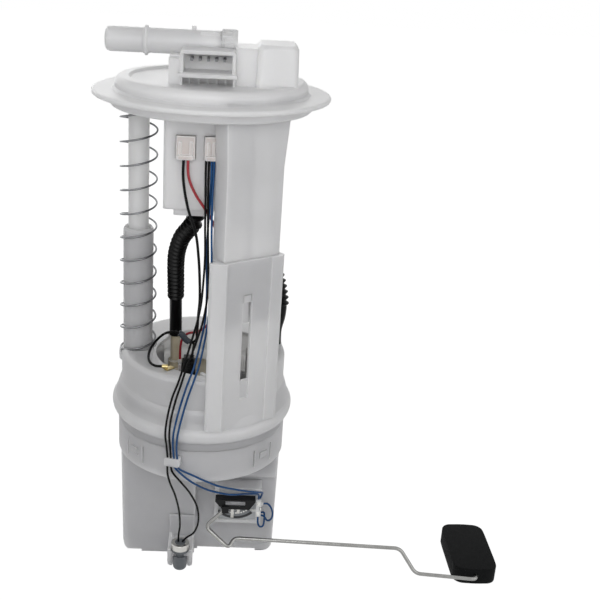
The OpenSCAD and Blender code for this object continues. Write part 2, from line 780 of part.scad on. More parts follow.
module guide_leg() {
    ribs = 5;
    relief = 0.8;
    color("whitesmoke") at_leg() difference() {
        union() {
            difference() {
                translate([0, -leg_back, 0]) rotate([90, 0, 0])
                    linear_extrude(leg_depth) leg_outline(0);
                translate([0, -leg_back + 1, 0]) rotate([90, 0, 0])
                    linear_extrude(leg_depth - leg_wall + 1) leg_outline(leg_wall);
            }
            for (i = [1:ribs - 1]) {
                z = leg_bottom + 8 + i * (plate_z - leg_bottom) / ribs;
                block([-leg_half + 1, -leg_out + 1, z], [leg_half - 1, -leg_back, z + 1.6]);
            }
            block([-0.8, -leg_out + 1, leg_bottom + 1], [0.8, -leg_back, plate_z - 1]);
            block([tab_x - slot_w / 2 + slide_gap, -web_out + 0.2, tab_top - tab_h],
                [tab_x + slot_w / 2 - slide_gap, -leg_out + 1, tab_top]);
        }
        translate([-leg_shift, 0, 0]) rotate_extrude($fn = 180) polygon([
            [spigot_in - haunch, plate_z], [spigot_in, seat_z], [spigot_in + 5, seat_z],
            [spigot_in + 5, plate_z + 1], [spigot_in - haunch, plate_z + 1]
        ]);
        for (x = [tab_x - slot_w / 2 - relief, tab_x + slot_w / 2])
            block([x, -leg_out - eps, tab_top - tab_h - 10],
                [x + relief, -leg_out + leg_wall + 1, tab_top + 1]);
    }
}

module guide_rod() {
    groove = 0.8;
    r = rod_d / 2;
    color("white") translate([rod_x, 0, 0]) rotate_extrude($fn = 72) polygon([
        [0, rod_foot], [r - 1, rod_foot], [r, rod_foot + 1],
        [r, rod_foot + 3], [r - groove, rod_foot + 3],
        [r - groove, rod_foot + 3 + ring_t], [r, rod_foot + 3 + ring_t],
        [r, plate_z - 1 + eps], [0, plate_z - 1 + eps]
    ]);
}

module rod_stop_ring() {
    color("gainsboro") translate([rod_x, 0, rod_foot + 3 + fit]) difference() {
        cylinder(r = ring_r, h = ring_t - 2 * fit, $fn = 72);
        translate([0, 0, -1]) cylinder(r = rod_d / 2 - 0.8 + fit, h = ring_t + 2, $fn = 72);
        block([0, -1.2, -1], [ring_r + 1, 1.2, ring_t + 1]);
    }
}

function spring_height(turn) =
    let (
        closed = 1,
        open_turns = spring_turns - 2 * closed,
        lift = spring_high - spring_low - 2 * closed * spring_wire * 1.05,
        low = min(turn, closed),
        high = max(0, turn - closed - open_turns),
        mid = min(max(turn - closed, 0), open_turns)
    )
    spring_low + (low + high) * spring_wire * 1.05 + lift * mid / open_turns;

module return_spring() {
    steps = 16;
    count = round(spring_turns * steps);
    color("slategray") swept([
        for (i = [0:count]) let (a = 360 * i / steps + 200)
            [rod_x + spring_r * cos(a), spring_r * sin(a), spring_height(i / steps)]
    ], [for (i = [0:count]) spring_wire / 2], 6);
}

// Corrugated hose with a plain cuff at each end
module corrugated(route, low_cuff, high_cuff) {
    smooth = spline(route, 8);
    total = len(smooth) - 1;
    radii = [
        for (i = [0:total])
            i < high_cuff * total || i > (1 - low_cuff) * total ? cuff_r
            : hose_r - (i % 2 == 0 ? 0 : 1.1)
    ];
    swept(smooth, radii, 12);
}

module supply_hose() {
    color("black") difference() {
        corrugated(supply_route, 0.2, 0.1);
        hose_end = supply_route[len(supply_route) - 1].z;
        translate([nipple_x, nipple_y, hose_end - 1])
            cylinder(r = hose_bore, h = nipple_top - hose_end + 1.5, $fn = 32);
        translate([spigot_x, spigot_y, housing_bottom - barb_h])
            cylinder(r = hose_bore, h = barb_h + 1, $fn = 32);
    }
}

module return_hose() {
    color("black") difference() {
        corrugated(return_route, 0.06, 0.16);
        translate([return_x, return_y, return_route[0].z - 1])
            cylinder(r = hose_bore, h = 11, $fn = 32);
        translate([return_top_x, return_top_y, plate_z - barb_h - 0.5])
            cylinder(r = hose_bore, h = barb_h + 2, $fn = 32);
    }
}

// Reservoir sub-parts
module cup_round(inset) {
    corner = 7;
    base = inset > 0 ? floor_t : 0;
    inner_rim = [
        [cup_r - inset, seam_z - 3], [spigot_r - inset, seam_z - 2],
        [spigot_r - inset, seam_z + 9], [0, seam_z + 9]
    ];
    outer_rim = [[cup_r, seam_z], [spigot_r, seam_z], [spigot_r, seam_z + 8], [0, seam_z + 8]];
    rotate_extrude($fn = 144) polygon(concat(
        [[0, base]],
        arc(foot_r - inset - corner, base + corner, corner, -90, 0, 6),
        [[ledge_r - inset, ledge_z - 2], [cup_r - inset, ledge_z]],
        inset > 0 ? inner_rim : outer_rim
    ));
}

module cup_form(inset) {
    far = collar_r + 5;
    difference() {
        cup_round(inset);
        block([-far, -far, -1], [far, -left_panel + inset, ledge_z + inset]);
        block([panel_split - inset, -far, -1], [far, -right_panel + inset, right_panel_top + inset]);
    }
}

module reservoir_cup() {
    color("gainsboro") difference() {
        union() {
            difference() {
                cup_form(0);
                cup_form(wall);
            }
            for (a = [-150, -120, -60, -30]) rotate([0, 0, a])
                block([cup_r - 12, -0.8, ledge_z + 0.5], [cup_r - 1, 0.8, ledge_z + 7]);
        }
        for (a = window_angles) rotate([0, 0, a]) {
            block([cup_r - wall - 2, -window_w / 2, window_z],
                [cup_r + 2, window_w / 2, window_z + window_h]);
            for (x = [-latch_slot_x, latch_slot_x])
                block([cup_r - wall - 2, x - latch_slot_w / 2, window_z - 4],
                    [cup_r + 2, x + latch_slot_w / 2, window_z + window_h + 3]);
        }
        block([panel_split + 2, -right_panel - 1, -1], [40, -right_panel + 4, 1.6]);
        block([-62, -left_panel - 1, -1], [-38, -left_panel + 3, 1.6]);
        translate([valve_x, valve_y, -1]) cylinder(r = 1.6, h = 5, $fn = 32);
        translate([valve_x, valve_y, -1]) cylinder(r = 2.8, h = 1 + valve_recess, $fn = 32);
        for (a = [0:60:300]) translate([valve_x + 5 * cos(a), valve_y + 5 * sin(a), -1])
            cylinder(r = 1.5, h = 5, $fn = 24);
    }
}

module lid_shell() {
    skirt_in = spigot_r + part_gap;
    rotate_extrude($fn = 144) polygon(concat(
        [[skirt_in, seam_z], [cup_r + 0.3, seam_z], [cup_r + 0.5, seam_z + 1]],
        arc(collar_r - 6, collar_z, 6, -65, 50, 10),
        [[neck_r + 1.2, shoulder_z - 1.2], [neck_r, shoulder_z + 1]],
        arc(neck_r - 3, neck_top - 3, 3, 0, 90, 6),
        [[10, neck_top], [10, neck_top - wall], [neck_r - wall - 1, neck_top - wall]],
        [[neck_r - wall, neck_top - wall - 1]],
        [[neck_r - wall, shoulder_z - 1], [skirt_in, shoulder_z - 6]]
    ));
}

module channel_posts() {
    h = channel_top - channel_foot;
    hook = channel_half + web_t;
    translate([0, 0, channel_foot]) linear_extrude(h) {
        polygon([
            [-27.3, -50.2], [-26.2, -51.6], [-19.4, -56], [-18.5, -55.6], [-18.5, -web_in],
            [-channel_half, -web_in], [-channel_half, -44], [-hook, -44], [-hook, -48], [-26.6, -48.6]
        ]);
        polygon([
            [channel_half, -38], [channel_half, -web_in], [12, -web_in], [12, -web_out - 0.8],
            [hook - 2, -web_out - 0.8], [hook, -web_out + 0.6], [hook, -38]
        ]);
        polygon([[-19, -web_in], [-19, -web_out], [13, -web_out], [13, -web_in]]);
    }
}

module channel_cut() {
    block([-channel_half, -web_in, channel_foot + 3], [channel_half, -leg_back + 3, channel_top + 10]);
    block([tab_x - slot_w / 2, -web_out - 3, slot_bottom], [tab_x + slot_w / 2, -web_in + 1, slot_top]);
    block([tab_x - slot_w / 2, -web_out - 3, slot_bottom - slot_recess_h],
        [tab_x + slot_w / 2, -web_out + 1, slot_bottom + eps]);
}

module guide_tube() {
    r = tube_d / 2;
    translate([rod_x, 0, tube_floor - wall])
        cylinder(r = r, h = tube_top - tube_floor + wall - 1.5, $fn = 96);
    translate([rod_x, 0, tube_top - 1.5 - eps]) cylinder(r1 = r, r2 = r - 1, h = 1.5 + eps, $fn = 96);
    translate([rod_x, 0, spring_seat - 5]) cylinder(r = spring_seat_r, h = 5, $fn = 96);
}

module lid_tongues() {
    r_out = spigot_r - wall - part_gap;
    for (a = window_angles) rotate([0, 0, a]) {
        block([r_out - 2.2, -tongue_half, window_z - 1], [r_out, tongue_half, shoulder_z + 3]);
        block([r_out - 1, -window_w / 2 + 0.8, window_z + 0.8],
            [cup_r + 0.4, window_w / 2 - 0.8, window_z + window_h - 0.4]);
    }
}

module reservoir_lid() {
    color("whitesmoke") difference() {
        union() {
            difference() {
                lid_shell();
                translate([mouth_x, mouth_y, neck_top - 8]) cylinder(r = mouth_r, h = 20, $fn = 96);
                translate([nipple_x, nipple_y, neck_top - 8]) cylinder(r = cuff_r + 1, h = 20, $fn = 48);
                translate([rod_x, 0, spring_seat])
                    cylinder(r = spring_seat_r + part_gap, h = 20, $fn = 96);
                at_leg() block([-channel_half - web_t, -web_out, shoulder_z - 4],
                    [channel_half + web_t, -leg_back + 3, neck_top + 1]);
            }
            at_leg() channel_posts();
            at_leg() block([-channel_half - web_t, -web_out, channel_foot],
                [channel_half + web_t, -leg_back + 6, channel_foot + 3]);
            intersection() {
                at_leg() for (x = [-channel_half - web_t, channel_half])
                    block([x, -web_out, channel_foot], [x + web_t, -leg_back + 6, neck_top]);
                cylinder(r = collar_r, h = neck_top);
            }
            guide_tube();
            lid_tongues();
            translate([return_x, return_y, neck_top - 8])
                cylinder(r = nipple_r + 1.4, h = 10, $fn = 48);
            translate([return_x, return_y, neck_top]) cylinder(r = nipple_r, h = 12, $fn = 48);
        }
        at_leg() channel_cut();
        translate([rod_x, 0, tube_floor]) cylinder(d = tube_bore, h = tube_top, $fn = 96);
        translate([rod_x, 0, tube_top - 0.8]) cylinder(d = tube_bore + 1.6, h = 2, $fn = 96);
        translate([return_x, return_y, neck_top - 10]) cylinder(r = 1.9, h = 30, $fn = 32);
    }
}

module umbrella_valve() {
    low = -floor_t + valve_recess;
    color("sienna") translate([valve_x, valve_y, floor_t]) rotate_extrude($fn = 48) polygon([
        [0, low - 0.8], [2, low - 0.8], [2.4, low], [1.55, low],
        [1.55, 0], [7.4, 0], [7.4, 0.5], [2.4, 1.8], [0, 2]
    ]);
}

module jet_pump() {
    color("whitesmoke") union() {
        block([33, -3, floor_t], [43, 13, 12]);
        translate([38, 5, 8]) rotate([90, 0, 0]) cylinder(r = 4, h = 10, center = true, $fn = 48);
        translate([40, 5, 10]) cylinder(r = 3.2, h = 20, $fn = 48);
        translate([40, 5, 28]) cylinder(r = 4, h = 3, $fn = 48);
    }
}

module inlet_strainer() {
    color("khaki") translate([pump_x, pump_y, 0]) union() {
        rounded_bar([-17, -15, strainer_z], [14.5, 18, strainer_z + strainer_h], 7);
        translate([0, 0, strainer_z + strainer_h - 1])
            cylinder(r = 7, h = shell_bottom - inlet_neck - strainer_z - strainer_h + 1, $fn = 48);
    }
}

// Cradle whose floor carries the pump's flange
module pump_holder() {
    floor_z = shell_bottom - 3;
    color("gainsboro") translate([pump_x, pump_y, 0]) difference() {
        union() {
            translate([0, 0, floor_z - 3]) cylinder(r = holder_out, h = 40, $fn = 96);
            for (a = [30, 100, 170]) rotate([0, 0, a])
                block([holder_in, -3, floor_t], [holder_out, 3, floor_z]);
        }
        translate([0, 0, floor_z]) cylinder(r = holder_in, h = 60, $fn = 96);
        translate([0, 0, floor_z - 4]) cylinder(r = 9, h = 6, $fn = 64);
        for (a = [0:60:300]) rotate([0, 0, a])
            block([holder_in - 3, -4, shell_bottom + 10], [holder_out + 1, 4, shell_bottom + 26]);
    }
}

module pump_isolator() {
    low = shell_top - seal_grip;
    color("dimgray") translate([pump_x, pump_y, 0]) rotate_extrude($fn = 96) polygon([
        [pump_r + fit, low], [seal_r - 1, low], [seal_r - 1, low + 5], [seal_r, low + 6],
        [seal_r, seal_top - 2], [seal_r - 1.5, seal_top], [pump_r + fit, seal_top]
    ]);
}

module pump_shell() {
    color("silver") translate([pump_x, pump_y, 0]) rotate_extrude($fn = 96) polygon([
        [pump_r - shell_t, shell_bottom], [pump_r - 0.4, shell_bottom], [pump_r, shell_bottom + 0.6],
        [pump_r, shell_top - 0.6], [pump_r - 0.4, shell_top], [pump_r - shell_t, shell_top]
    ]);
}

module pump_inlet_cap() {
    r = pump_r - shell_t - fit;
    color("gray") translate([pump_x, pump_y, 0]) difference() {
        union() {
            translate([0, 0, shell_bottom]) cylinder(r = r, h = 10, $fn = 96);
            translate([0, 0, shell_bottom - 3]) cylinder(r = pump_r, h = 3, $fn = 96);
            translate([0, 0, shell_bottom - inlet_neck]) cylinder(r = 8, h = 4, $fn = 64);
        }
        translate([0, 0, shell_bottom + 4]) cylinder(r = shaft_d / 2 + shaft_fit, h = 8, $fn = 48);
        translate([5, 0, shell_bottom - inlet_neck - 1]) cylinder(r = 1.8, h = 20, $fn = 32);
    }
}

module pump_outlet_cap() {
    r = pump_r - shell_t - fit;
    color("cornsilk") translate([pump_x, pump_y, 0]) difference() {
        union() {
            translate([0, 0, shell_top - 8]) cylinder(r = r, h = 8, $fn = 96);
            translate([0, 0, shell_top]) cylinder(r = pump_r, h = outlet_top - shell_top - 2, $fn = 96);
            translate([0, 0, outlet_top - 2 - eps]) cylinder(r = pump_r - 1.5, h = 2, $fn = 96);
            translate([nipple_x - pump_x, nipple_y - pump_y, outlet_top - 1])
                cylinder(r = nipple_r + 1.5, h = 6, $fn = 48);
            translate([nipple_x - pump_x, nipple_y - pump_y, outlet_top])
                cylinder(r = nipple_r, h = nipple_top - outlet_top, $fn = 48);
            block([feed_x - pump_x - 1.8, socket_plug_y - pump_y - 4.5, outlet_top - 1],
                [socket_plug_x - pump_x + socket_plug_half + 1, socket_plug_y - pump_y + 4.5, plug_foot]);
        }
        translate([0, 0, shell_top - 9]) cylinder(r = shaft_d / 2 + shaft_fit, h = 8, $fn = 48);
        translate([nipple_x - pump_x, nipple_y - pump_y, outlet_top - 12])
            cylinder(r = 1.9, h = 60, $fn = 32);
    }
}

module pump_magnets() {
    r = pump_r - shell_t - fit;
    color("dimgray") translate([pump_x, pump_y, 0]) intersection() {
        difference() {
            translate([0, 0, shell_bottom + 12]) cylinder(r = r, h = shell_top - shell_bottom - 26, $fn = 96);
            translate([0, 0, shell_bottom]) cylinder(r = armature_d / 2 + 1.2, h = shell_top, $fn = 96);
        }
        union() {
            block([-30, 4, 0], [30, 30, 200]);
            block([-30, -30, 0], [30, -4, 200]);
        }
    }
}

module pump_rotor() {
    slots = 8;
    low = shell_bottom + 14;
    high = shell_top - 18;
    color("darkgoldenrod") translate([pump_x, pump_y, 0]) union() {
        translate([0, 0, shell_bottom + 5]) cylinder(d = shaft_d, h = shell_top - shell_bottom - 7, $fn = 48);
        difference() {
            translate([0, 0, low]) cylinder(d = armature_d, h = high - low - 8, $fn = 96);
            for (i = [0:slots - 1]) rotate([0, 0, 360 * i / slots])
                block([armature_d / 2 - 4, -1, low - 1], [armature_d / 2 + 1, 1, high]);
        }
        translate([0, 0, high - 6]) cylinder(d = armature_d * 0.55, h = 7, $fn = 64);
    }
}

module pump_plug() {
    x = socket_plug_x;
    y = socket_plug_y;
    half = socket_plug_half;
    color("black") union() {
        block([x - half, y - 4, plug_foot], [x + half, y + 4, plug_foot + 9]);
        block([x - half + 1, y - 3, plug_foot + 8], [x + half - 1, y + 3, plug_top]);
        block([x - 2, y - 5.2, plug_foot + 1], [x + 2, y - 3.5, plug_foot + 8]);
    }
}

// Flag terminal of the feed lead, beside the plug
module feed_terminal() {
    color("ivory") translate([feed_x, socket_plug_y, plug_foot]) union() {
        block([-1.1, -2.4, 0], [1.1, 2.4, 7]);
        block([-0.9, -1.4, 6], [0.9, 1.4, 10]);
    }
}

module ground_tab() {
    edge = mouth_r - fit;
    t = 0.8;
    half = 1.8;
    under = neck_top - wall;
    crimp_l = 3.5;
    color("khaki") translate([mouth_x, mouth_y, 0]) rotate([0, 0, tab_angle]) union() {
        block([edge - t, -half, under - 7], [edge, half, neck_top + t]);
        block([edge - t, -half, neck_top], [edge + 5, half, neck_top + t]);
        block([edge - t, -half, under - t], [edge + 2.4, half, under]);
        translate([edge + 3.2, 0, neck_top + t + 1.1]) rotate([0, 0, -tab_angle])
            rotate([0, -90, 0]) cylinder(r = crimp_r, h = crimp_l, $fn = 24);
    }
}

module wire_clip() {
    color("white") rotate([0, 0, clip_angle]) difference() {
        rotate([0, 90, 0]) rounded_bar([-clip_high, -clip_half, cup_r - 0.6],
            [-clip_low, clip_half, cup_r + 5.8], 1.2);
        rotate_extrude($fn = 144) translate([0, clip_low - 1]) square([cup_r, clip_high - clip_low + 2]);
    }
}

// Back plate on the cup's panel, a shelf with the capsule's slot, and an apron below it
module thermistor_bracket() {
    y0 = -left_panel;
    side = 2.4;
    low = 8;
    arm_high = 17;
    color("gainsboro") difference() {
        union() {
            block([bracket_left, y0 - 2, low], [bracket_right, y0, 31]);
            for (x = [bracket_left, bracket_right - side])
                block([x, bracket_front, low], [x + side, y0 - 1, arm_high]);
            block([bracket_left, bracket_front, plate_low], [bracket_right, y0 - 1, plate_high]);
            translate([0, apron_y + apron_t, 0]) rotate([90, 0, 0])
                rounded_bar([bracket_left, 1.5, 0], [bracket_right, plate_high, apron_t], 2);
        }
        translate([capsule_x, capsule_y, plate_low - 1])
            cylinder(r = capsule_neck_d / 2 + fit, h = 8, $fn = 48);
        translate([capsule_x, capsule_y, -1])
            cylinder(r = capsule_d / 2 + 0.4, h = plate_low + 1 - fit, $fn = 48);
        translate([capsule_x, capsule_y, plate_high])
            cylinder(r = capsule_d / 2 + 1.4, h = 8, $fn = 48);
        block([capsule_x - 2.6, bracket_front - 1, -1], [capsule_x + 2.6, capsule_y, 20]);
    }
}

module thermistor() {
    r = capsule_d / 2;
    neck = capsule_neck_d / 2;
    color("dimgray") translate([capsule_x, capsule_y, 0]) rotate_extrude($fn = 64) polygon(concat(
        [[0, capsule_foot], [r - 3.4, capsule_foot]],
        arc(r - 2.6, capsule_foot + 2.6, 2.2, -70, 0, 5),
        [[r, plate_low - fit], [neck, plate_low - fit], [neck, plate_high + fit]],
        [[r + 0.9, plate_high + fit], [r + 0.9, capsule_top - 2.4], [r + 0.3, capsule_top - 1.6]],
        [[r - 1.2, capsule_top - 1.6], [r - 1.6, capsule_top], [0, capsule_top]]
    ));
}

module sender_bracket() {
    y0 = -right_panel;
    hollow = 3;
    color("gainsboro") difference() {
        union() {
            block([sender_left, card_y + card_t + fit, sender_low], [sender_right, y0, sender_high]);
            block([sender_left - 1, card_y - 0.8, sender_low], [sender_left + 1.5, y0, sender_high]);
            block([sender_left, card_y - 1, sender_low - 1.5], [sender_right, y0, sender_low + 0.6]);
        }
        block([sender_left + hollow, card_y + 4, sender_low - 2],
            [sender_right - hollow, y0 - 2.5, sender_high - 2.4]);
        translate([pivot_x, y0, pivot_z]) rotate([90, 0, 0])
            cylinder(r = pivot_d / 2 + fit, h = 40, $fn = 48);
    }
}

module resistor_card() {
    color("lightgray") difference() {
        union() {
            block([sender_left + 2, card_y, sender_low + 1],
                [sender_right - 3.6, card_y + card_t, sender_high - 1]);
            translate([pivot_x, card_y + fit, pivot_z]) rotate([90, 0, 0])
            for (r = [11, 14.5]) intersection() {
                rotate_extrude($fn = 96) translate([r, 0]) square([1.8, 0.3]);
                block([-11, -18, -1], [11, -5, 1]);
            }
        }
        translate([pivot_x, card_y + 5, pivot_z]) rotate([90, 0, 0])
            cylinder(r = pivot_d / 2 + 0.4, h = 12, $fn = 48);
    }
}

module sender_terminals() {
    color("white") union() {
        block([38.4, card_y - 3, 38], [42, card_y + card_t, 51]);
        block([36.2, card_y - 0.5, 40], [38.6, card_y, 42]);
        block([36.2, card_y - 0.5, 46], [38.6, card_y, 48]);
        block([42, card_y - 2, 46.2], [43.4, card_y, 48]);
    }
}

// Turning parts of the sender
module float_hub() {
    y = hub_y;
    color("black") difference() {
        union() {
            translate([pivot_x, y, pivot_z]) rotate([90, 0, 0]) linear_extrude(hub_t)
                polygon([[-13.6, 2.6], [-13.6, 1], [-9, -4.6], [9, -4.6], [12.8, 1], [12.8, 2.6]]);
            translate([pivot_x, pin_tail, pivot_z]) rotate([90, 0, 0])
                cylinder(r = pivot_d / 2, h = pin_tail - y + 2, $fn = 48);
            block([16, y - hub_t - 1.4, 44], [20.5, y - 1, 49]);
        }
        block([pivot_x - 7, y - hub_t - 1, pivot_z - 1.8], [pivot_x + 6.5, y - hub_t + 1.6, pivot_z + 1.4]);
        tube(bent(arm_route, 4, 4), arm_d + 2 * fit, 10);
    }
}

module wiper_contact() {
    y = hub_y + 1.25;
    color("silver") difference() {
        union() {
            block([pivot_x - 3, y - 0.4, pivot_z - 15.6], [pivot_x - 1, y, pivot_z - 3]);
            block([pivot_x + 1, y - 0.4, pivot_z - 12.2], [pivot_x + 3, y, pivot_z - 3]);
            block([pivot_x - 4, y - 0.4, pivot_z - 6], [pivot_x + 4, y, pivot_z + 2.2]);
            block([pivot_x - 4, hub_y, pivot_z - 4], [pivot_x - 2.5, y, pivot_z + 2]);
            block([pivot_x + 2.5, hub_y, pivot_z - 4], [pivot_x + 4, y, pivot_z + 2]);
        }
        translate([pivot_x, y + 2, pivot_z]) rotate([90, 0, 0])
            cylinder(r = pivot_d / 2 + fit, h = 5, $fn = 48);
    }
}

module float_arm() {
    tip = arm_route[7];
    color("silver") union() {
        tube(bent(arm_route, 4, 4), arm_d, 10);
        translate(tip) rotate([-90, 0, 0]) cylinder(d = arm_d, h = 44, $fn = 32);
        translate(tip) sphere(d = arm_d, $fn = 32);
    }
}

module float_slice(inset, low, high) {
    tip = arm_route[7];
    rounded_bar([tip.x - float_w / 2 + inset, tip.y + 1.5 + inset, low],
        [tip.x + float_w / 2 - inset, tip.y + 1.5 + float_l - inset, high], 7 - inset);
}

module level_float() {
    tip = arm_route[7];
    low = 1;
    color("#222222") difference() {
        hull() {
            float_slice(0, low + 1.2, low + float_t - 1.2);
            float_slice(1.2, low, low + float_t);
        }
        translate(tip) rotate([-90, 0, 0]) cylinder(r = arm_d / 2 + fit, h = 45, $fn = 32);
    }
}

// Leads
module thermistor_leads() {
    color("black") union() {
        lead(black_route_a);
        lead(black_route_b);
    }
}

module sender_leads() {
    color("steelblue") union() {
        lead(blue_route_a);
        lead(blue_route_b);
    }
}

module pump_lead() {
    color("firebrick") power_lead(red_route);
}

module pump_return_lead() {
    color("black") power_lead(black_route_c);
}

module thermistor_tails() {
    color("black") union() {
        lead(black_tail_a);
        lead(black_tail_b);
    }
}

module sender_tails() {
    color("steelblue") union() {
        lead(blue_tail_a);
        lead(blue_tail_b);
    }
}

module ground_lead() {
    color("black") power_lead(ground_route_a);
    color("black") power_lead(ground_route_b);
}

// Shrink sleeve over the splice in the ground lead
module splice_sleeve() {
    color("darkslategray") tube(sleeve_route, 4, 16);
}

module sender_jumpers() {
    color("steelblue") union() {
        lead(jumper_route_a);
        lead(jumper_route_b);
    }
}

flange_cover();
pipe_end_cap();
terminal_pins();
pressure_regulator();
regulator_o_ring();
regulator_clip();
filter_housing();
filter_element();
power_plug();
sender_plug();
guide_leg();
guide_rod();
rod_stop_ring();
return_spring();
supply_hose();
return_hose();
reservoir_cup();
reservoir_lid();
umbrella_valve();
jet_pump();
inlet_strainer();
pump_holder();
pump_isolator();
pump_shell();
pump_inlet_cap();
pump_outlet_cap();
pump_magnets();
pump_rotor();
pump_plug();
feed_terminal();
ground_tab();
wire_clip();
thermistor_bracket();
thermistor();
sender_bracket();
resistor_card();
sender_terminals();
float_hub();
wiper_contact();
float_arm();
level_float();
thermistor_leads();
sender_leads();
pump_lead();
pump_return_lead();
thermistor_tails();
sender_tails();
ground_lead();
splice_sleeve();
sender_jumpers();
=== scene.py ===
"""Looks of an in-tank fuel pump module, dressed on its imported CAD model.

Lengths in the classes are millimetres, as on the part's drawing, and are turned to metres where a
mesh or a shader takes them.
"""

import logging
import math
from collections.abc import Callable, Iterable, Sequence
from dataclasses import dataclass
from enum import Enum

import bmesh
import bpy
from mathutils import Matrix, Vector


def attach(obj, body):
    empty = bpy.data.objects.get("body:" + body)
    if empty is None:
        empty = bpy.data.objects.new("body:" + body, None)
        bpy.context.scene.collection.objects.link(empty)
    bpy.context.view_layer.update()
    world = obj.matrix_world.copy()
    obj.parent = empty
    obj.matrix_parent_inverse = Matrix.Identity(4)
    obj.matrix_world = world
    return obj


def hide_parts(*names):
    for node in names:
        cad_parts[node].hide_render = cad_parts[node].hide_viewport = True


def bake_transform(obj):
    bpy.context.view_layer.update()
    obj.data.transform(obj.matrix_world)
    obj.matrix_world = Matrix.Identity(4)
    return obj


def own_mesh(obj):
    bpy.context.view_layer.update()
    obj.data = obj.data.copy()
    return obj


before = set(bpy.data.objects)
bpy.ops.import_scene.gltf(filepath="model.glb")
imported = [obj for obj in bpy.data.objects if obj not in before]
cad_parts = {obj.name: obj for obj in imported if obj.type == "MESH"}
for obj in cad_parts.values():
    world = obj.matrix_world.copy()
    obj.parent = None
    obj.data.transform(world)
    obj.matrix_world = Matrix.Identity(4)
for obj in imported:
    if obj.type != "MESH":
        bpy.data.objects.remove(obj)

LOG = logging.getLogger("fuel_pump_module")
MM = 0.001
# Rounding takes at most this share of a block's thinnest side
BEVEL_SHARE = 0.45
# Doubles nearer than this, in millimetres, are one point
WELD = 1e-4
# Bend takes at most a run's length over this
RUN_PARTS = 2.2
Point = tuple[float, float, float]
Route = Sequence[Point]
Box = tuple[Point, Point]
Tree = bpy.types.NodeTree
ShaderNode = bpy.types.Node
Socket = bpy.types.NodeSocket


class Body(Enum):
    """Rigid groups of the module that pieces ride on."""

    RESERVOIR = "reservoir"
    COVER = "cover"
    SENDER = "sender"


class Ink(Enum):
    """Material numbers of the prints on the sender's card."""

    SILVER = 0
    TRACK = 1
    GLAZE = 2


def linear(hex_code: str) -> tuple[float, float, float, float]:
    """Turn an sRGB colour into linear light.

    Args:
        hex_code: colour as six hex digits after a hash sign.

    Returns:
        Red, green, blue and an alpha of 1.
    """
    channels = [int(hex_code[i : i + 2], 16) / 255 for i in (1, 3, 5)]
    lit = [c / 12.92 if c <= 0.04045 else ((c + 0.055) / 1.055) ** 2.4 for c in channels]
    return (lit[0], lit[1], lit[2], 1.0)


WHITE = linear("#FFFFFF")


def link_object(name: str, data: bpy.types.ID) -> bpy.types.Object:
    """Make an object of a mesh, curve, lamp or camera, and link it to the scene.

    Args:
        name: name of the object.
        data: what it shows.

    Returns:
        The object at the origin.
    """
    made = bpy.data.objects.new(name, data)
    bpy.context.scene.collection.objects.link(made)
    return made


def empty_tree(owner: bpy.types.Material | bpy.types.World) -> Tree:
    """Give a material or the world a node tree with nothing in it.

    Args:
        owner: the material or the world.

    Returns:
        Its node tree.
    """
    owner.use_nodes = True
    owner.node_tree.nodes.clear()
    return owner.node_tree


def add_node(
    tree: Tree, kind: str, settings: dict | None = None, inputs: dict | None = None
) -> ShaderNode:
    """Add a shader node with its settings and links.

    Args:
        tree: node tree of a material or of the world.
        kind: type name of the node.
        settings: properties of the node itself.
        inputs: a value or an output socket for each input, by name or number.

    Returns:
        The new node.
    """
    node = tree.nodes.new(kind)
    for name, value in (settings or {}).items():
        setattr(node, name, value)
    for name, value in (inputs or {}).items():
        socket = node.inputs[name]
        if isinstance(value, Socket):
            tree.links.new(value, socket)
        else:
            socket.default_value = value
    return node


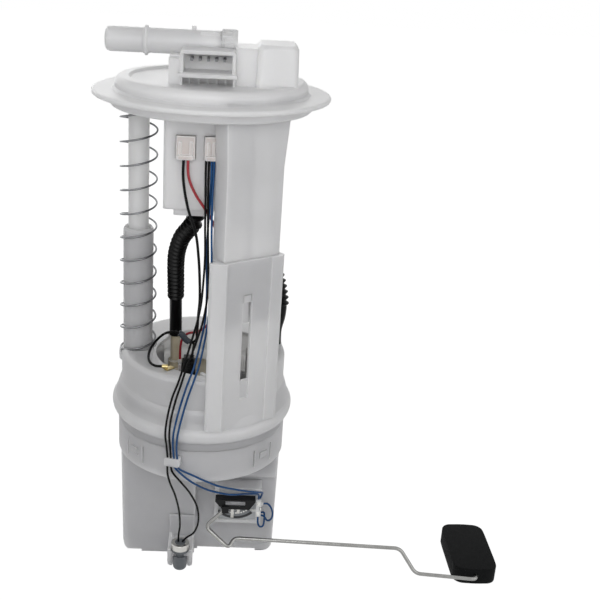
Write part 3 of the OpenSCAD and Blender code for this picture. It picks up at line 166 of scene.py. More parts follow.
@dataclass(frozen=True)
class Finish:
    """Surface of one real material, with the marks that its making leaves."""

    name: str
    tone: str
    roughness: float
    metallic: float = 0.0
    ior: float = 1.5
    tone_dark: str = ""
    patch_mm: float = 18.0
    grain_mm: float = 0.35
    grain_depth_mm: float = 0.01
    edge_mm: float = 0.35
    gloss_swing: float = 0.12

    def material(self) -> bpy.types.Material:
        """Build the material, or return it if it is already there.

        Returns:
            The material with its node tree.
        """
        made = bpy.data.materials.get(self.name)
        if made:
            return made
        made = bpy.data.materials.new(self.name)
        tree = empty_tree(made)
        shader = add_node(
            tree, "ShaderNodeBsdfPrincipled", None,
            {"Base Color": linear(self.tone), "Metallic": self.metallic,
             "Roughness": self.roughness},
        )
        if not self.metallic:
            shader.inputs["IOR"].default_value = self.ior
        place = add_node(tree, "ShaderNodeTexCoord").outputs["Object"]
        self.tint(tree, shader, place)
        height = self.relief(tree, place)
        rounded = add_node(tree, "ShaderNodeBevel", {"samples": 4}, {"Radius": self.edge_mm * MM})
        bump = add_node(
            tree, "ShaderNodeBump", None,
            {"Strength": 1.0, "Distance": self.grain_depth_mm * MM, "Height": height,
             "Normal": rounded.outputs["Normal"]},
        )
        tree.links.new(bump.outputs["Normal"], shader.inputs["Normal"])
        add_node(tree, "ShaderNodeOutputMaterial", None, {"Surface": shader.outputs["BSDF"]})
        return made

    def tint(self, tree: Tree, shader: ShaderNode, place: Socket) -> None:
        """Vary the colour and the gloss in soft patches.

        Args:
            tree: node tree of the material.
            shader: its surface shader.
            place: object coordinates in metres.
        """
        patches = add_node(
            tree, "ShaderNodeTexNoise", None,
            {"Vector": place, "Scale": 1 / (self.patch_mm * MM), "Detail": 4.0, "Roughness": 0.6},
        )
        blend = add_node(
            tree, "ShaderNodeMix", {"data_type": "RGBA"},
            {"Factor": patches.outputs["Fac"], "A": linear(self.tone_dark or self.tone),
             "B": linear(self.tone)},
        )
        tree.links.new(blend.outputs["Result"], shader.inputs["Base Color"])
        gloss = add_node(
            tree, "ShaderNodeMapRange", None,
            {"Value": patches.outputs["Fac"], "To Min": self.roughness * (1 - self.gloss_swing),
             "To Max": self.roughness * (1 + self.gloss_swing)},
        )
        tree.links.new(gloss.outputs["Result"], shader.inputs["Roughness"])

    def relief(self, tree: Tree, place: Socket) -> Socket:
        """Give the fine grain that light catches.

        Args:
            tree: node tree of the material.
            place: object coordinates in metres.

        Returns:
            Height from 0 to 1.
        """
        grain = add_node(
            tree, "ShaderNodeTexNoise", None,
            {"Vector": place, "Scale": 1 / (self.grain_mm * MM), "Detail": 2.0},
        )
        return grain.outputs["Fac"]


@dataclass(frozen=True)
class MilkyResin(Finish):
    """Unpigmented resin that light enters and leaves, so that shadows soften; its edges get a
    painted glow.
    """

    depth_mm: float = 14.0
    share: float = 0.85
    # Painted edge glow: within this reach of an edge, the base colour is mixed towards the glow
    # tone below, a painted highlight
    painted_glow_reach_mm: float = 1.3
    painted_glow_tone: str = "#F7F7F7"
    reach_rgb: Point = (1.0, 1.0, 0.95)
    flat_cosine: float = 0.995
    round_cosine: float = 0.85

    def tint(self, tree: Tree, shader: ShaderNode, place: Socket) -> None:
        """Add cloudy flow marks, the light that scatters below the surface, and a painted glow that
        pales the colour near edges, standing in for light through thin walls.

        Args:
            tree: node tree of the material.
            shader: its surface shader.
            place: object coordinates in metres.
        """
        super().tint(tree, shader, place)
        shader.inputs["Subsurface Weight"].default_value = self.share
        shader.inputs["Subsurface Radius"].default_value = self.reach_rgb
        shader.inputs["Subsurface Scale"].default_value = self.depth_mm * MM
        # Painted highlight: where the rounded normal leaves the flat one, the colour is mixed
        # towards the paler glow tone
        rounded = add_node(tree, "ShaderNodeBevel", {"samples": 6}, {"Radius": self.painted_glow_reach_mm * MM})
        flat = add_node(tree, "ShaderNodeNewGeometry")
        agree = add_node(
            tree, "ShaderNodeVectorMath", {"operation": "DOT_PRODUCT"},
            {0: rounded.outputs["Normal"], 1: flat.outputs["Normal"]},
        )
        painted_glow_mask = add_node(
            tree, "ShaderNodeMapRange", None,
            {"Value": agree.outputs["Value"], "From Min": self.flat_cosine,
             "From Max": self.round_cosine},
        )
        cloudy = shader.inputs["Base Color"].links[0].from_socket
        lit = add_node(
            tree, "ShaderNodeMix", {"data_type": "RGBA"},
            {"Factor": painted_glow_mask.outputs["Result"], "A": cloudy, "B": linear(self.painted_glow_tone)},
        )
        tree.links.new(lit.outputs["Result"], shader.inputs["Base Color"])


@dataclass(frozen=True)
class DrawnMetal(Finish):
    """Metal with fine streaks along one axis, left by the die, the press or the print screen."""

    streak: Point = (1.0, 1.0, 0.04)

    def relief(self, tree: Tree, place: Socket) -> Socket:
        """Stretch the grain along the drawing direction.

        Args:
            tree: node tree of the material.
            place: object coordinates in metres.

        Returns:
            Height from 0 to 1.
        """
        drawn = add_node(tree, "ShaderNodeMapping", None, {"Vector": place, "Scale": self.streak})
        return super().relief(tree, drawn.outputs["Vector"])


@dataclass(frozen=True)
class Woven(Finish):
    """Woven or pleated sheet, with its threads crossing at right angles."""

    thread_mm: float = 0.7

    def relief(self, tree: Tree, place: Socket) -> Socket:
        """Raise the threads of the weave in two directions.

        Args:
            tree: node tree of the material.
            place: object coordinates in metres.

        Returns:
            Height from 0 to 1.
        """
        scale = 1 / (self.thread_mm * MM)
        threads = [
            add_node(
                tree, "ShaderNodeTexWave", {"bands_direction": way},
                {"Vector": place, "Scale": scale / math.tau, "Distortion": 0.3},
            ).outputs["Fac"]
            for way in ("X", "Z")
        ]
        weave = add_node(
            tree, "ShaderNodeMath", {"operation": "MAXIMUM"}, {0: threads[0], 1: threads[1]}
        )
        return weave.outputs["Value"]


# Natural acetal, injection moulded: milky white, satin, with cloudy flow marks
NATURAL_ACETAL = MilkyResin(
    "natural_acetal_moulded", "#EDEDED", 0.42, ior=1.48, tone_dark="#E4E4E4", patch_mm=26,
    edge_mm=0.6,
)
# Same resin in the cover, painted a lighter tone than the rest to stand in for its thick sections
# and the light from above, with a stronger painted edge glow
COVER_ACETAL_PAINTED_LIGHT = MilkyResin(
    "natural_acetal_cover_painted_light", "#F3F3F3", 0.42, ior=1.48, tone_dark="#EBEBEB", patch_mm=26,
    edge_mm=0.6, painted_glow_reach_mm=1.6, painted_glow_tone="#FAFAFA",
)
# Thin natural acetal in the reservoir: cloudier and a little duller than the cover
CUP_ACETAL = MilkyResin(
    "natural_acetal_thin_wall", "#E8E8E8", 0.45, ior=1.48, tone_dark="#DADADC", patch_mm=30,
    edge_mm=0.5,
)
# White pigmented acetal: opaque, brighter than the natural one
WHITE_ACETAL = Finish("white_acetal_moulded", "#E9EAEA", 0.4, ior=1.48, tone_dark="#E0E1E2")
# Ivory nylon of the lead plugs: warm and faintly translucent
IVORY_NYLON = MilkyResin(
    "ivory_nylon_moulded", "#DFD8D5", 0.5, tone_dark="#D7CFCB", patch_mm=6, depth_mm=3
)
# Cream acetal of the pump's outlet end, seen down in the lid's opening
CREAM_ACETAL = MilkyResin(
    "cream_acetal_moulded", "#D8CFBA", 0.5, tone_dark="#CBC1A9", patch_mm=12, depth_mm=2
)
# Glass-filled nylon, dyed black: dull, with a fine fibre grain. Its index, as that of the foam, the
# hose and the dark leads, is lower than usual to match the object's deep black
BLACK_NYLON = Finish(
    "black_nylon_glass_filled", "#0C0D0F", 0.48, ior=1.3, tone_dark="#070809", patch_mm=5,
    grain_mm=0.25,
)
# Glass-filled nylon, grey and satin: the thermistor's capsule and the pump's inlet end
GREY_NYLON = Finish(
    "grey_nylon_glass_filled", "#63676B", 0.42, tone_dark="#565A5E", patch_mm=6, grain_mm=0.3
)
# Closed-cell nitrile foam: matt, charcoal, with small open pores
NITRILE_FOAM = Finish(
    "nitrile_foam_closed_cell", "#101112", 0.9, ior=1.25, tone_dark="#0B0C0C", patch_mm=3,
    grain_mm=0.9, grain_depth_mm=0.12, edge_mm=0.8,
)
# Nylon 12 hose, extruded and corrugated: deep black and glossy on the crests
HOSE_NYLON = Finish(
    "nylon_hose_extruded", "#050506", 0.3, ior=1.22, tone_dark="#030303", patch_mm=8, edge_mm=0.15
)
# Fluoropolymer insulation, extruded on the strands: smooth and softly glossy
BLACK_INSULATION = Finish(
    "black_lead_insulation", "#060708", 0.42, ior=1.2, tone_dark="#040405", patch_mm=9, edge_mm=0.1
)
BLUE_INSULATION = Finish(
    "blue_lead_insulation", "#1E5084", 0.36, ior=1.3, tone_dark="#163D68", patch_mm=9, edge_mm=0.1
)
RED_INSULATION = Finish(
    "red_lead_insulation", "#A92832", 0.38, tone_dark="#8E1E29", patch_mm=9, edge_mm=0.1
)
# Heat-shrink sleeve over the splice: thick, slate and almost matt
SHRINK_SLEEVE = Finish(
    "slate_shrink_sleeve", "#3B424A", 0.55, tone_dark="#2E343B", patch_mm=4, edge_mm=0.2
)
# Spring wire, drawn and oil tempered: mid grey with dark streaks
SPRING_STEEL = DrawnMetal(
    "spring_steel_drawn", "#8C8D8F", 0.3, metallic=1.0, tone_dark="#5B5D60", patch_mm=5,
    grain_mm=0.2, edge_mm=0.1,
)
# Zinc-plated wire of the float arm: mid grey and softly mottled
ZINC_WIRE = DrawnMetal(
    "zinc_plated_wire", "#A2A2A0", 0.24, metallic=1.0, tone_dark="#7A7A78", patch_mm=4,
    grain_mm=0.25, edge_mm=0.1, streak=(0.05, 1.0, 1.0),
)
# Stainless steel, deep drawn: bright cans and clips with fine streaks
STAINLESS = DrawnMetal(
    "stainless_steel_drawn", "#C9C9C8", 0.28, metallic=1.0, tone_dark="#B2B2B2", patch_mm=9
)
# Nickel silver strip, stamped: warm grey with a soft shine
NICKEL_SILVER = DrawnMetal(
    "nickel_silver_stamped", "#C9C8C4", 0.3, metallic=1.0, tone_dark="#B3B2AD", patch_mm=4
)
# Tinned brass terminals, stamped: pale yellow, mottled where the tin is thin
TINNED_BRASS = DrawnMetal(
    "tinned_brass_stamped", "#CDBE92", 0.3, metallic=1.0, tone_dark="#A8965F", patch_mm=2
)
# Terminal pins in the connector: matt tin, its colour painted darker as a painted shadow of the
# shroud
TIN_PAINTED_SHADE = DrawnMetal(
    "tin_pins_painted_shade", "#77787A", 0.45, metallic=0.6, tone_dark="#626365", patch_mm=2
)
# Fluoroelastomer: seals and the pump's isolator, matt black-brown
FLUORO_RUBBER = Finish(
    "fluoroelastomer_moulded", "#241F1D", 0.7, tone_dark="#191513", patch_mm=5, grain_mm=0.4
)
# Resin-treated filter paper in pleats: straw yellow, matt and fibrous
FILTER_PAPER = Woven(
    "filter_paper_pleated", "#D2C596", 0.85, tone_dark="#C2B482", thread_mm=0.6, grain_depth_mm=0.08
)
# Woven nylon strainer, threads of about 0.3 mm drawn at 0.8 mm so that they show
STRAINER_MESH = Woven(
    "nylon_mesh_woven", "#CFCFC2", 0.75, tone_dark="#BDBDAF", thread_mm=0.8, grain_depth_mm=0.15
)
# Sintered ferrite magnets: charcoal and slightly rough
FERRITE = Finish(
    "ferrite_sintered", "#3A3B3E", 0.6, tone_dark="#2C2D30", patch_mm=4, grain_depth_mm=0.03
)
# Armature: lacquered copper winding over steel laminations, a glossy red-brown
ARMATURE = DrawnMetal(
    "armature_lacquered_copper", "#A5643A", 0.38, metallic=1.0, tone_dark="#7A4526", patch_mm=3
)
# Fired alumina card with printed tracks: chalky grey board, dull dark ink, bright silver marks
ALUMINA_CARD = Finish(
    "alumina_card_fired", "#C6C8CA", 0.5, tone_dark="#B4B7BA", patch_mm=4, edge_mm=0.1
)
CARD_INK = Finish(
    "resistor_ink_fired", "#2B2D30", 0.45, tone_dark="#1E2023", patch_mm=2, edge_mm=0.05
)
SILVER_INK = DrawnMetal(
    "silver_ink_fired", "#EFEFEC", 0.42, metallic=0.55, tone_dark="#DADAD6", patch_mm=2
)
# Glaze between the tracks: mid grey and slightly glossy
CARD_GLAZE = Finish(
    "card_glaze_fired", "#8C8F92", 0.35, tone_dark="#797C7F", patch_mm=2, edge_mm=0.05
)


def spline(points: Route, steps: int) -> list[Vector]:
    """Run a smooth curve through the points of a route.

    Args:
        points: points of the route in millimetres.
        steps: points on the curve for each stretch of the route.

    Returns:
        Points of the curve in millimetres, both ends included.
    """
    p = [Vector(q) for q in points]
    out: list[Vector] = []
    for i in range(len(p) - 1):
        a, b, c, d = p[max(i - 1, 0)], p[i], p[i + 1], p[min(i + 2, len(p) - 1)]
        for k in range(steps):
            t = k / steps
            square, cube = 2 * a - 5 * b + 4 * c - d, 3 * b - a - 3 * c + d
            out.append(0.5 * (2 * b + (c - a) * t + square * t * t + cube * t**3))
    return [*out, p[-1]]


def bent(points: Route, reach: float, steps: int) -> list[Vector]:
    """Round the corners of a wire that is bent between straight runs.

    Args:
        points: corners of the wire in millimetres.
        reach: distance from a corner at which its bend starts.
        steps: points along each bend.

    Returns:
        Points of the wire's line in millimetres.
    """
    p = [Vector(q) for q in points]
    out = [p[0]]
    for before, corner, after in zip(p, p[1:], p[2:]):
        back, ahead = before - corner, after - corner
        a = corner + back.normalized() * min(reach, back.length / RUN_PARTS)
        b = corner + ahead.normalized() * min(reach, ahead.length / RUN_PARTS)
        for k in range(steps + 1):
            t = k / steps
            out.append(a.lerp(corner, t).lerp(corner.lerp(b, t), t))
    return [*out, p[-1]]


def finish_piece(
    name: str, mesh: bpy.types.Mesh, finishes: Sequence[Finish], slot: str, sharp_deg: float = 40
) -> bpy.types.Object:
    """Link a mesh as a piece with smooth faces and its materials.

    Args:
        name: name of the piece.
        mesh: its mesh, in metres, in the part's frame.
        finishes: finishes in the order of the mesh's material numbers.
        slot: the record's material slot; not used.
        sharp_deg: angle past which an edge stays sharp.

    Returns:
        The new object at the origin.
    """
    mesh.name = name
    for one in finishes:
        mesh.materials.append(one.material())
    mesh.polygons.foreach_set("use_smooth", [True] * len(mesh.polygons))
    mesh.set_sharp_from_angle(angle=math.radians(sharp_deg))
    piece = link_object(name, mesh)
    return piece


def tube_mesh(
    line: Sequence[Vector],
    radius: float,
    swell: Callable[[float], float] | None = None,
    sides: int = 4,
) -> bpy.types.Mesh:
    """Sweep a round section along a line.

    Args:
        line: points of the line in millimetres.
        radius: radius of the section in millimetres.
        swell: factor on the radius by the distance along the line in millimetres.
        sides: pairs of sides that the section has beyond its first four.

    Returns:
        Closed tube mesh in metres.
    """
    curve = bpy.data.curves.new("tube_line", "CURVE")
    curve.dimensions = "3D"
    curve.twist_mode = "MINIMUM"
    curve.bevel_depth = radius * MM
    curve.bevel_resolution = sides
    curve.use_fill_caps = True
    run = curve.splines.new("POLY")
    run.points.add(len(line) - 1)
    travelled = 0.0
    for i, (knot, at) in enumerate(zip(run.points, line)):
        travelled += (at - line[i - 1]).length if i else 0.0
        knot.co = (*(at * MM), 1.0)
        knot.radius = swell(travelled) if swell else 1.0
    holder = link_object("tube_line", curve)
    bpy.context.view_layer.update()
    depsgraph = bpy.context.evaluated_depsgraph_get()
    mesh = bpy.data.meshes.new_from_object(holder.evaluated_get(depsgraph))
    bpy.data.objects.remove(holder)
    bpy.data.curves.remove(curve)
    form = bmesh.new()
    form.from_mesh(mesh)
    bmesh.ops.remove_doubles(form, verts=form.verts, dist=1e-6)
    bmesh.ops.recalc_face_normals(form, faces=form.faces)
    form.to_mesh(mesh)
    form.free()
    return mesh


class Form:
    """A mesh that is built up from blocks, slabs and turned shapes, in millimetres."""

    def __init__(self) -> None:
        """Start an empty form."""
        self.shape = bmesh.new()

    def paint(self, faces: Iterable[bmesh.types.BMFace], number: int) -> None:
        """Give faces a material by its number."""
        for face in faces:
            face.material_index = number

    def cube(self, low: Point, high: Point) -> list[bmesh.types.BMVert]:
        """Stretch a cube between two corners.

        Args:
            low: lowest corner.
            high: highest corner.

        Returns:
            Its vertices.
        """
        a, b = Vector(low), Vector(high)
        made = bmesh.ops.create_cube(self.shape, size=1.0)["verts"]
        bmesh.ops.scale(self.shape, verts=made, vec=b - a)
        bmesh.ops.translate(self.shape, verts=made, vec=(a + b) / 2)
        return made

    def rounded(
        self,
        edges: Sequence[bmesh.types.BMEdge],
        faces: set[bmesh.types.BMFace],
        radius: float,
        steps: int,
    ) -> set[bmesh.types.BMFace]:
        """Round edges.

        Args:
            edges: edges to round.
            faces: faces of the piece that they are on.
            radius: radius of the rounding.
            steps: segments of the rounding.

        Returns:
            The piece's faces after it.
        """
        new = bmesh.ops.bevel(
            self.shape, geom=edges, offset=radius, segments=steps, profile=0.5, affect="EDGES",
            material=-1, clamp_overlap=True,
        )
        return {f for f in faces if f.is_valid} | set(new["faces"])

    def block(
        self, low: Point, high: Point, edge: float = 0.3, paint: int = 0, turn: Matrix | None = None
    ) -> None:
        """Add a block with rounded edges.

        Args:
            low: lowest corner.
            high: highest corner.
            edge: radius of the edges.
            paint: material number.
            turn: transform in millimetres, after the block is in place.
        """
        made = self.cube(low, high)
        if turn:
            bmesh.ops.transform(self.shape, verts=made, matrix=turn)
        faces = {f for v in made for f in v.link_faces}
        if edge:
            thinnest = min(b - a for a, b in zip(low, high))
            edges = list({e for v in made for e in v.link_edges})
            faces = self.rounded(edges, faces, min(edge, BEVEL_SHARE * thinnest), steps=2)
        self.paint(faces, paint)

    def slab(self, low: Point, high: Point, corner: float, edge: float) -> None:
        """Add a flat block whose upright corners have a large radius.

        Args:
            low: lowest corner.
            high: highest corner.
            corner: radius of the four upright corners.
            edge: radius round the top and the bottom.
        """
        made = self.cube(low, high)
        faces = {f for v in made for f in v.link_faces}
        upright = [e for e in {e for v in made for e in v.link_edges} if self.rise(e) > WELD]
        faces = self.rounded(upright, faces, corner, steps=10)
        level = [e for e in {e for f in faces for e in f.edges} if self.rise(e) < WELD]
        self.rounded(level, faces, edge, steps=4)

    def rise(self, edge: bmesh.types.BMEdge) -> float:
        """Difference in height between an edge's ends."""
        return abs((edge.verts[0].co - edge.verts[1].co).z)

    def turned(
        self, outline: Sequence[tuple[float, float]], centre: Point, steps: int = 64
    ) -> None:
        """Spin an outline of radius and height round an upright axis.

        Args:
            outline: pairs of radius and height; both ends are closed onto the axis.
            centre: where the outline's origin goes.
            steps: segments of a full turn.
        """
        others = set(self.shape.faces)
        rows = [self.shape.verts.new((r, 0, z)) for r, z in outline]
        edges = [self.shape.edges.new(pair) for pair in zip(rows, rows[1:])]
        bmesh.ops.spin(
            self.shape, geom=rows + edges, cent=(0, 0, 0), axis=(0, 0, 1), dvec=(0, 0, 0),
            angle=math.tau, steps=steps, use_merge=True, use_duplicate=False,
        )
        verts = list({v for f in self.shape.faces if f not in others for v in f.verts})
        bmesh.ops.remove_doubles(self.shape, verts=verts, dist=WELD)
        verts = [v for v in verts if v.is_valid]
        faces = list({f for v in verts for f in v.link_faces})
        bmesh.ops.recalc_face_normals(self.shape, faces=faces)
        bmesh.ops.translate(self.shape, verts=verts, vec=centre)

    def mesh(self) -> bpy.types.Mesh:
        """Close the form.

        Returns:
            Its mesh in metres.
        """
        bmesh.ops.scale(self.shape, verts=self.shape.verts, vec=(MM, MM, MM))
        out = bpy.data.meshes.new("form")
        self.shape.to_mesh(out)
        self.shape.free()
        return out


@dataclass
class ReturnSpring:
    """Coil spring round the guide rod, from the lid's seat to the cover."""

    axis_x: float = -42.5
    radius: float = 11.0
    wire: float = 1.2
    low: float = 146.0
    high: float = 316.5
    turns: float = 13.2
    closed: float = 1.0
    start_deg: float = 200.0
    points_a_turn: int = 44
    close_pitch: float = 1.26
    travel: float = 50.0

    def height(self, turn: float) -> float:
        """Height of the wire's middle after a number of turns.

        Args:
            turn: turns from the lower end.

        Returns:
            Height in millimetres.
        """
        low, high = self.low + self.wire / 2, self.high - self.wire / 2
        open_turns = self.turns - 2 * self.closed
        lift = high - low - 2 * self.closed * self.close_pitch
        ends = min(turn, self.closed) + max(0.0, turn - self.closed - open_turns)
        middle = min(max(turn - self.closed, 0.0), open_turns)
        return low + ends * self.close_pitch + lift * middle / open_turns

    def build(self) -> None:
        """Wind the coil and fix it to the reservoir."""
        count = round(self.turns * self.points_a_turn)
        line = []
        for i in range(count + 1):
            turn = i / self.points_a_turn
            angle = math.tau * turn + math.radians(self.start_deg)
            out = self.radius * Vector((math.cos(angle), math.sin(angle), 0))
            line.append(Vector((self.axis_x, 0, self.height(turn))) + out)
        mesh = tube_mesh(line, self.wire / 2, sides=3)
        coil = finish_piece("spring_coil", mesh, [SPRING_STEEL], "spring_steel")
        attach(coil, Body.RESERVOIR.value)
        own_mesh(coil)
        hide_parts("return_spring")
        LOG.info("return spring wound")


@dataclass
class CorrugatedHose:
    """Corrugated hose with a plain cuff at each end."""

    name: str
    node: str
    route: Route
    first_cuff: float
    last_cuff: float
    crest: float = 5.5
    root: float = 3.9
    cuff: float = 4.1
    pitch: float = 3.6
    valley_power: float = 1.5
    held: float = 8.0

    def swell(self, along: float, total: float) -> float:
        """Factor on the crest radius at a distance along the hose.

        Args:
            along: distance from the first end.
            total: length of the hose.

        Returns:
            Radius there over the crest radius.
        """
        if along < self.first_cuff or along > total - self.last_cuff:
            return self.cuff / self.crest
        wave = 0.5 - 0.5 * math.cos(math.tau * (along - self.first_cuff) / self.pitch)
        radius = self.root + (self.crest - self.root) * wave**self.valley_power
        return radius / self.crest

    def build(self) -> None:
        """Mould the hose along its route, from the reservoir to the cover."""
        line = spline(self.route, steps=40)
        total = sum((b - a).length for a, b in zip(line, line[1:]))
        mesh = tube_mesh(line, self.crest, lambda s: self.swell(s, total), sides=6)
        hose = finish_piece(self.name, mesh, [HOSE_NYLON], "black_hose", sharp_deg=50)
        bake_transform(hose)
        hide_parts(self.node)
        LOG.info("%s moulded, %.0f mm long", self.name, total)


@dataclass
class Hoses:
    """Supply hose from the pump to the filter, and return hose from the cover to the jet pump."""

    supply: Route = (
        (-7, -26, 248), (-7, -26, 242), (-9.8, -23, 236.5), (-14.8, -16.5, 228), (-18, -9, 216.5),
        (-19, -2, 205), (-19.2, 5.5, 191), (-19.4, 12, 177), (-19.5, 17, 165), (-19.5, 19, 157),
        (-19.5, 19, 149),
    )
    back: Route = (
        (46, 5, 152), (46, 5, 162), (48, 5.5, 172), (48, 6, 182), (45, 7, 196), (38.5, 8.5, 214),
        (32, 9.5, 232), (27, 10, 254), (24, 10, 275), (24, 10, 291), (24, 10, 306), (24, 10, 315),
    )

    def build(self) -> None:
        """Mould both hoses."""
        supply = CorrugatedHose("supply_hose_body", "supply_hose", self.supply, 2.5, 32)
        back = CorrugatedHose("return_hose_body", "return_hose", self.back, 26, 12)
        for hose in (supply, back):
            hose.build()


@dataclass
class Lead:
    """One insulated lead along its route."""

    name: str
    node: str
    route: Route
    finish: Finish
    slot: str
    diameter: float = 1.3
    hangs: bool = True
    held: float = 6.0

    def build(self) -> None:
        """Extrude the insulation along the route; a lead that does not hang is fixed to the
        reservoir.
        """
        line = spline(self.route, steps=10)
        mesh = tube_mesh(line, self.diameter / 2, sides=3)
        lead = finish_piece(self.name, mesh, [self.finish], self.slot)
        if self.hangs:
            low, high = min(p[2] for p in self.route), max(p[2] for p in self.route)
            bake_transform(lead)
        else:
            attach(lead, Body.RESERVOIR.value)
        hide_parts(self.node)
        LOG.info("%s laid", self.name)


@dataclass
class Wiring:
    """All leads of the module, routed as they lie in the CAD model."""

    black_a: Route = (
        (-0.9, -42.5, 281.5), (-0.9, -42.9, 272), (-0.6, -43.5, 262), (-0.3, -44.6, 244),
        (0.2, -45.8, 227), (-0.2, -47, 212), (-1.5, -48.5, 195), (-5.5, -49.5, 177),
        (-9.8, -51.8, 161), (-13, -54.5, 150), (-16.5, -56.5, 140), (-19, -58, 128),
        (-20, -58.8, 117), (-19.2, -57.8, 108), (-18.6, -56, 99.5),
    )
    black_b: Route = (
        (0.7, -42.5, 281.5), (0.7, -42.9, 272), (0.9, -43.8, 260), (1.4, -44.9, 242),
        (2.2, -45.6, 222), (2.6, -45.8, 205), (0.3, -46.4, 187), (-4, -47.5, 171),
        (-8.5, -50.5, 158), (-11.5, -54.3, 148), (-14.5, -57, 138), (-16.8, -58.6, 127),
        (-17.6, -59.4, 117), (-17, -58.5, 108), (-16.6, -56.6, 99.5),
    )
    blue_a: Route = (
        (2.3, -42.5, 281.5), (2.3, -42.4, 270), (1.9, -42.4, 256), (1.2, -42.5, 238),
        (1.2, -42.6, 220), (1.8, -42.3, 203), (1.4, -42, 186), (-1, -43.5, 171), (-4, -49, 158),
        (-7, -54, 150.5), (-10, -56.8, 141), (-12.8, -58.8, 130), (-15, -60, 118),
        (-15.2, -59.2, 108), (-14.6, -57.1, 99.5),
    )
    blue_b: Route = (
        (3.8, -42.5, 281.5), (3.6, -43.1, 272), (3.3, -45.4, 258), (3.6, -47.4, 241),
        (4.2, -48, 222), (4.2, -47.9, 205), (3.2, -46.6, 187), (1.5, -46, 173), (-1, -50.5, 160),
        (-4, -55.6, 151), (-7.2, -58, 141), (-10, -59.8, 130), (-12.4, -60.8, 118),
        (-13, -59.8, 108), (-12.6, -57.6, 99.5),
    )
    red: Route = (
        (-11, -42.5, 281.5), (-10.4, -43, 272), (-6.5, -43.2, 262.5), (-0.5, -41.4, 253),
        (4.5, -38.6, 243.5), (8, -36, 230), (9, -31.5, 214), (8.5, -26.5, 198), (6.5, -20, 183),
        (2.5, -12.5, 170.5), (-3.5, -5.5, 162.3), (-9.5, -1.8, 159.2), (-13.4, -0.8, 156),
        (-14.9, -0.3, 150.5), (-15.3, 2, 145), (-15.3, 2, 139),
    )
    black_c: Route = (
        (-13.5, -42.5, 281.5), (-13.3, -43.2, 270), (-10.5, -44.5, 255), (-5.5, -45.8, 240),
        (-3.5, -45.8, 226), (-2.5, -45, 212), (-2.2, -42, 198), (-3, -36, 186), (-3.5, -27, 175),
        (-4.2, -16, 165.5), (-4.6, -9, 158.5), (-6.6, -6.3, 155.2), (-9.3, -5.9, 154.3),
    )
    black_tail_a: Route = (
        (-18.6, -56, 94), (-18.4, -56.2, 88), (-16.8, -54.4, 80), (-14, -48.5, 68),
        (-11.6, -41.5, 52), (-11, -36, 37), (-11.8, -33, 28), (-12, -32, 21.5),
    )
    black_tail_b: Route = (
        (-16.6, -56.6, 94), (-15.2, -56.6, 89), (-10.5, -54.5, 81.5), (-4.5, -48.5, 69.5),
        (0, -43, 56), (1, -39.5, 43), (-1.5, -36, 32), (-6.5, -33, 25.5), (-9.2, -32, 21.5),
    )
    blue_tail_a: Route = (
        (-14.6, -57.1, 94), (-12.2, -57.4, 91), (-6.5, -56.4, 85), (0, -53.2, 78.5), (8, -48.5, 72),
        (20, -42, 65.5), (31, -34.5, 61.5), (38, -28.5, 58), (40, -25.2, 55), (40, -23.8, 51),
    )
    blue_tail_b: Route = (
        (-12.6, -57.6, 94), (-10.2, -57.8, 91.8), (-2.5, -56.6, 87.4), (6, -55.2, 82.5),
        (14.5, -50.5, 76.4), (29.5, -40.3, 67.5), (38, -33.5, 62.5), (42, -28, 58.8),
        (42, -24.5, 55.2), (41.2, -22.6, 51),
    )
    ground_a: Route = (
        (-7.5, 2, 141), (-7, 1, 146), (-6.4, -3.5, 152.5), (-9.3, -4, 154.7),
    )
    ground_b: Route = (
        (-16, -5, 160.3), (-19.5, -5.2, 161.3), (-25, -6.5, 160.2), (-30, -11, 157),
        (-33, -18, 154), (-33.4, -26, 152.4), (-31.6, -33.3, 152.1), (-28.3, -37.3, 152),
        (-24.1, -37.6, 151.9),
    )
    sleeve: Route = (
        (-9.3, -5, 154.5), (-11.5, -5, 156), (-14, -5, 159.3), (-16, -5, 160.3),
    )
    jumper_a: Route = (
        (43.4, -23, 47.1), (46.3, -23.2, 47.2), (48.8, -23, 44), (50, -22.5, 39), (49.2, -21, 33.8),
        (46.8, -19.4, 31.8), (44.6, -19, 34.6), (42, -19, 35.5),
    )
    jumper_b: Route = (
        (40.2, -24.1, 38), (40.4, -24.2, 33), (41.6, -24, 30), (43.8, -22, 28.8), (44.8, -19, 30.5),
        (44.6, -17, 36), (42, -17, 36),
    )
    power_d: float = 1.6
    sleeve_d: float = 4.0

    def across(self) -> list[Lead]:
        """List the leads from the reservoir to the cover.

        Returns:
            Leads from the reservoir to the cover.
        """
        black = (BLACK_INSULATION, "black_insulation")
        blue = (BLUE_INSULATION, "blue_insulation")
        red = (RED_INSULATION, "red_insulation")
        return [
            Lead("black_lead_left", "thermistor_leads", self.black_a, *black),
            Lead("black_lead_right", "thermistor_leads", self.black_b, *black),
            Lead("blue_lead_left", "sender_leads", self.blue_a, *blue),
            Lead("blue_lead_right", "sender_leads", self.blue_b, *blue),
            Lead("red_lead", "pump_lead", self.red, *red, self.power_d),
            Lead("pump_black_lead", "pump_return_lead", self.black_c, *black, self.power_d),
        ]

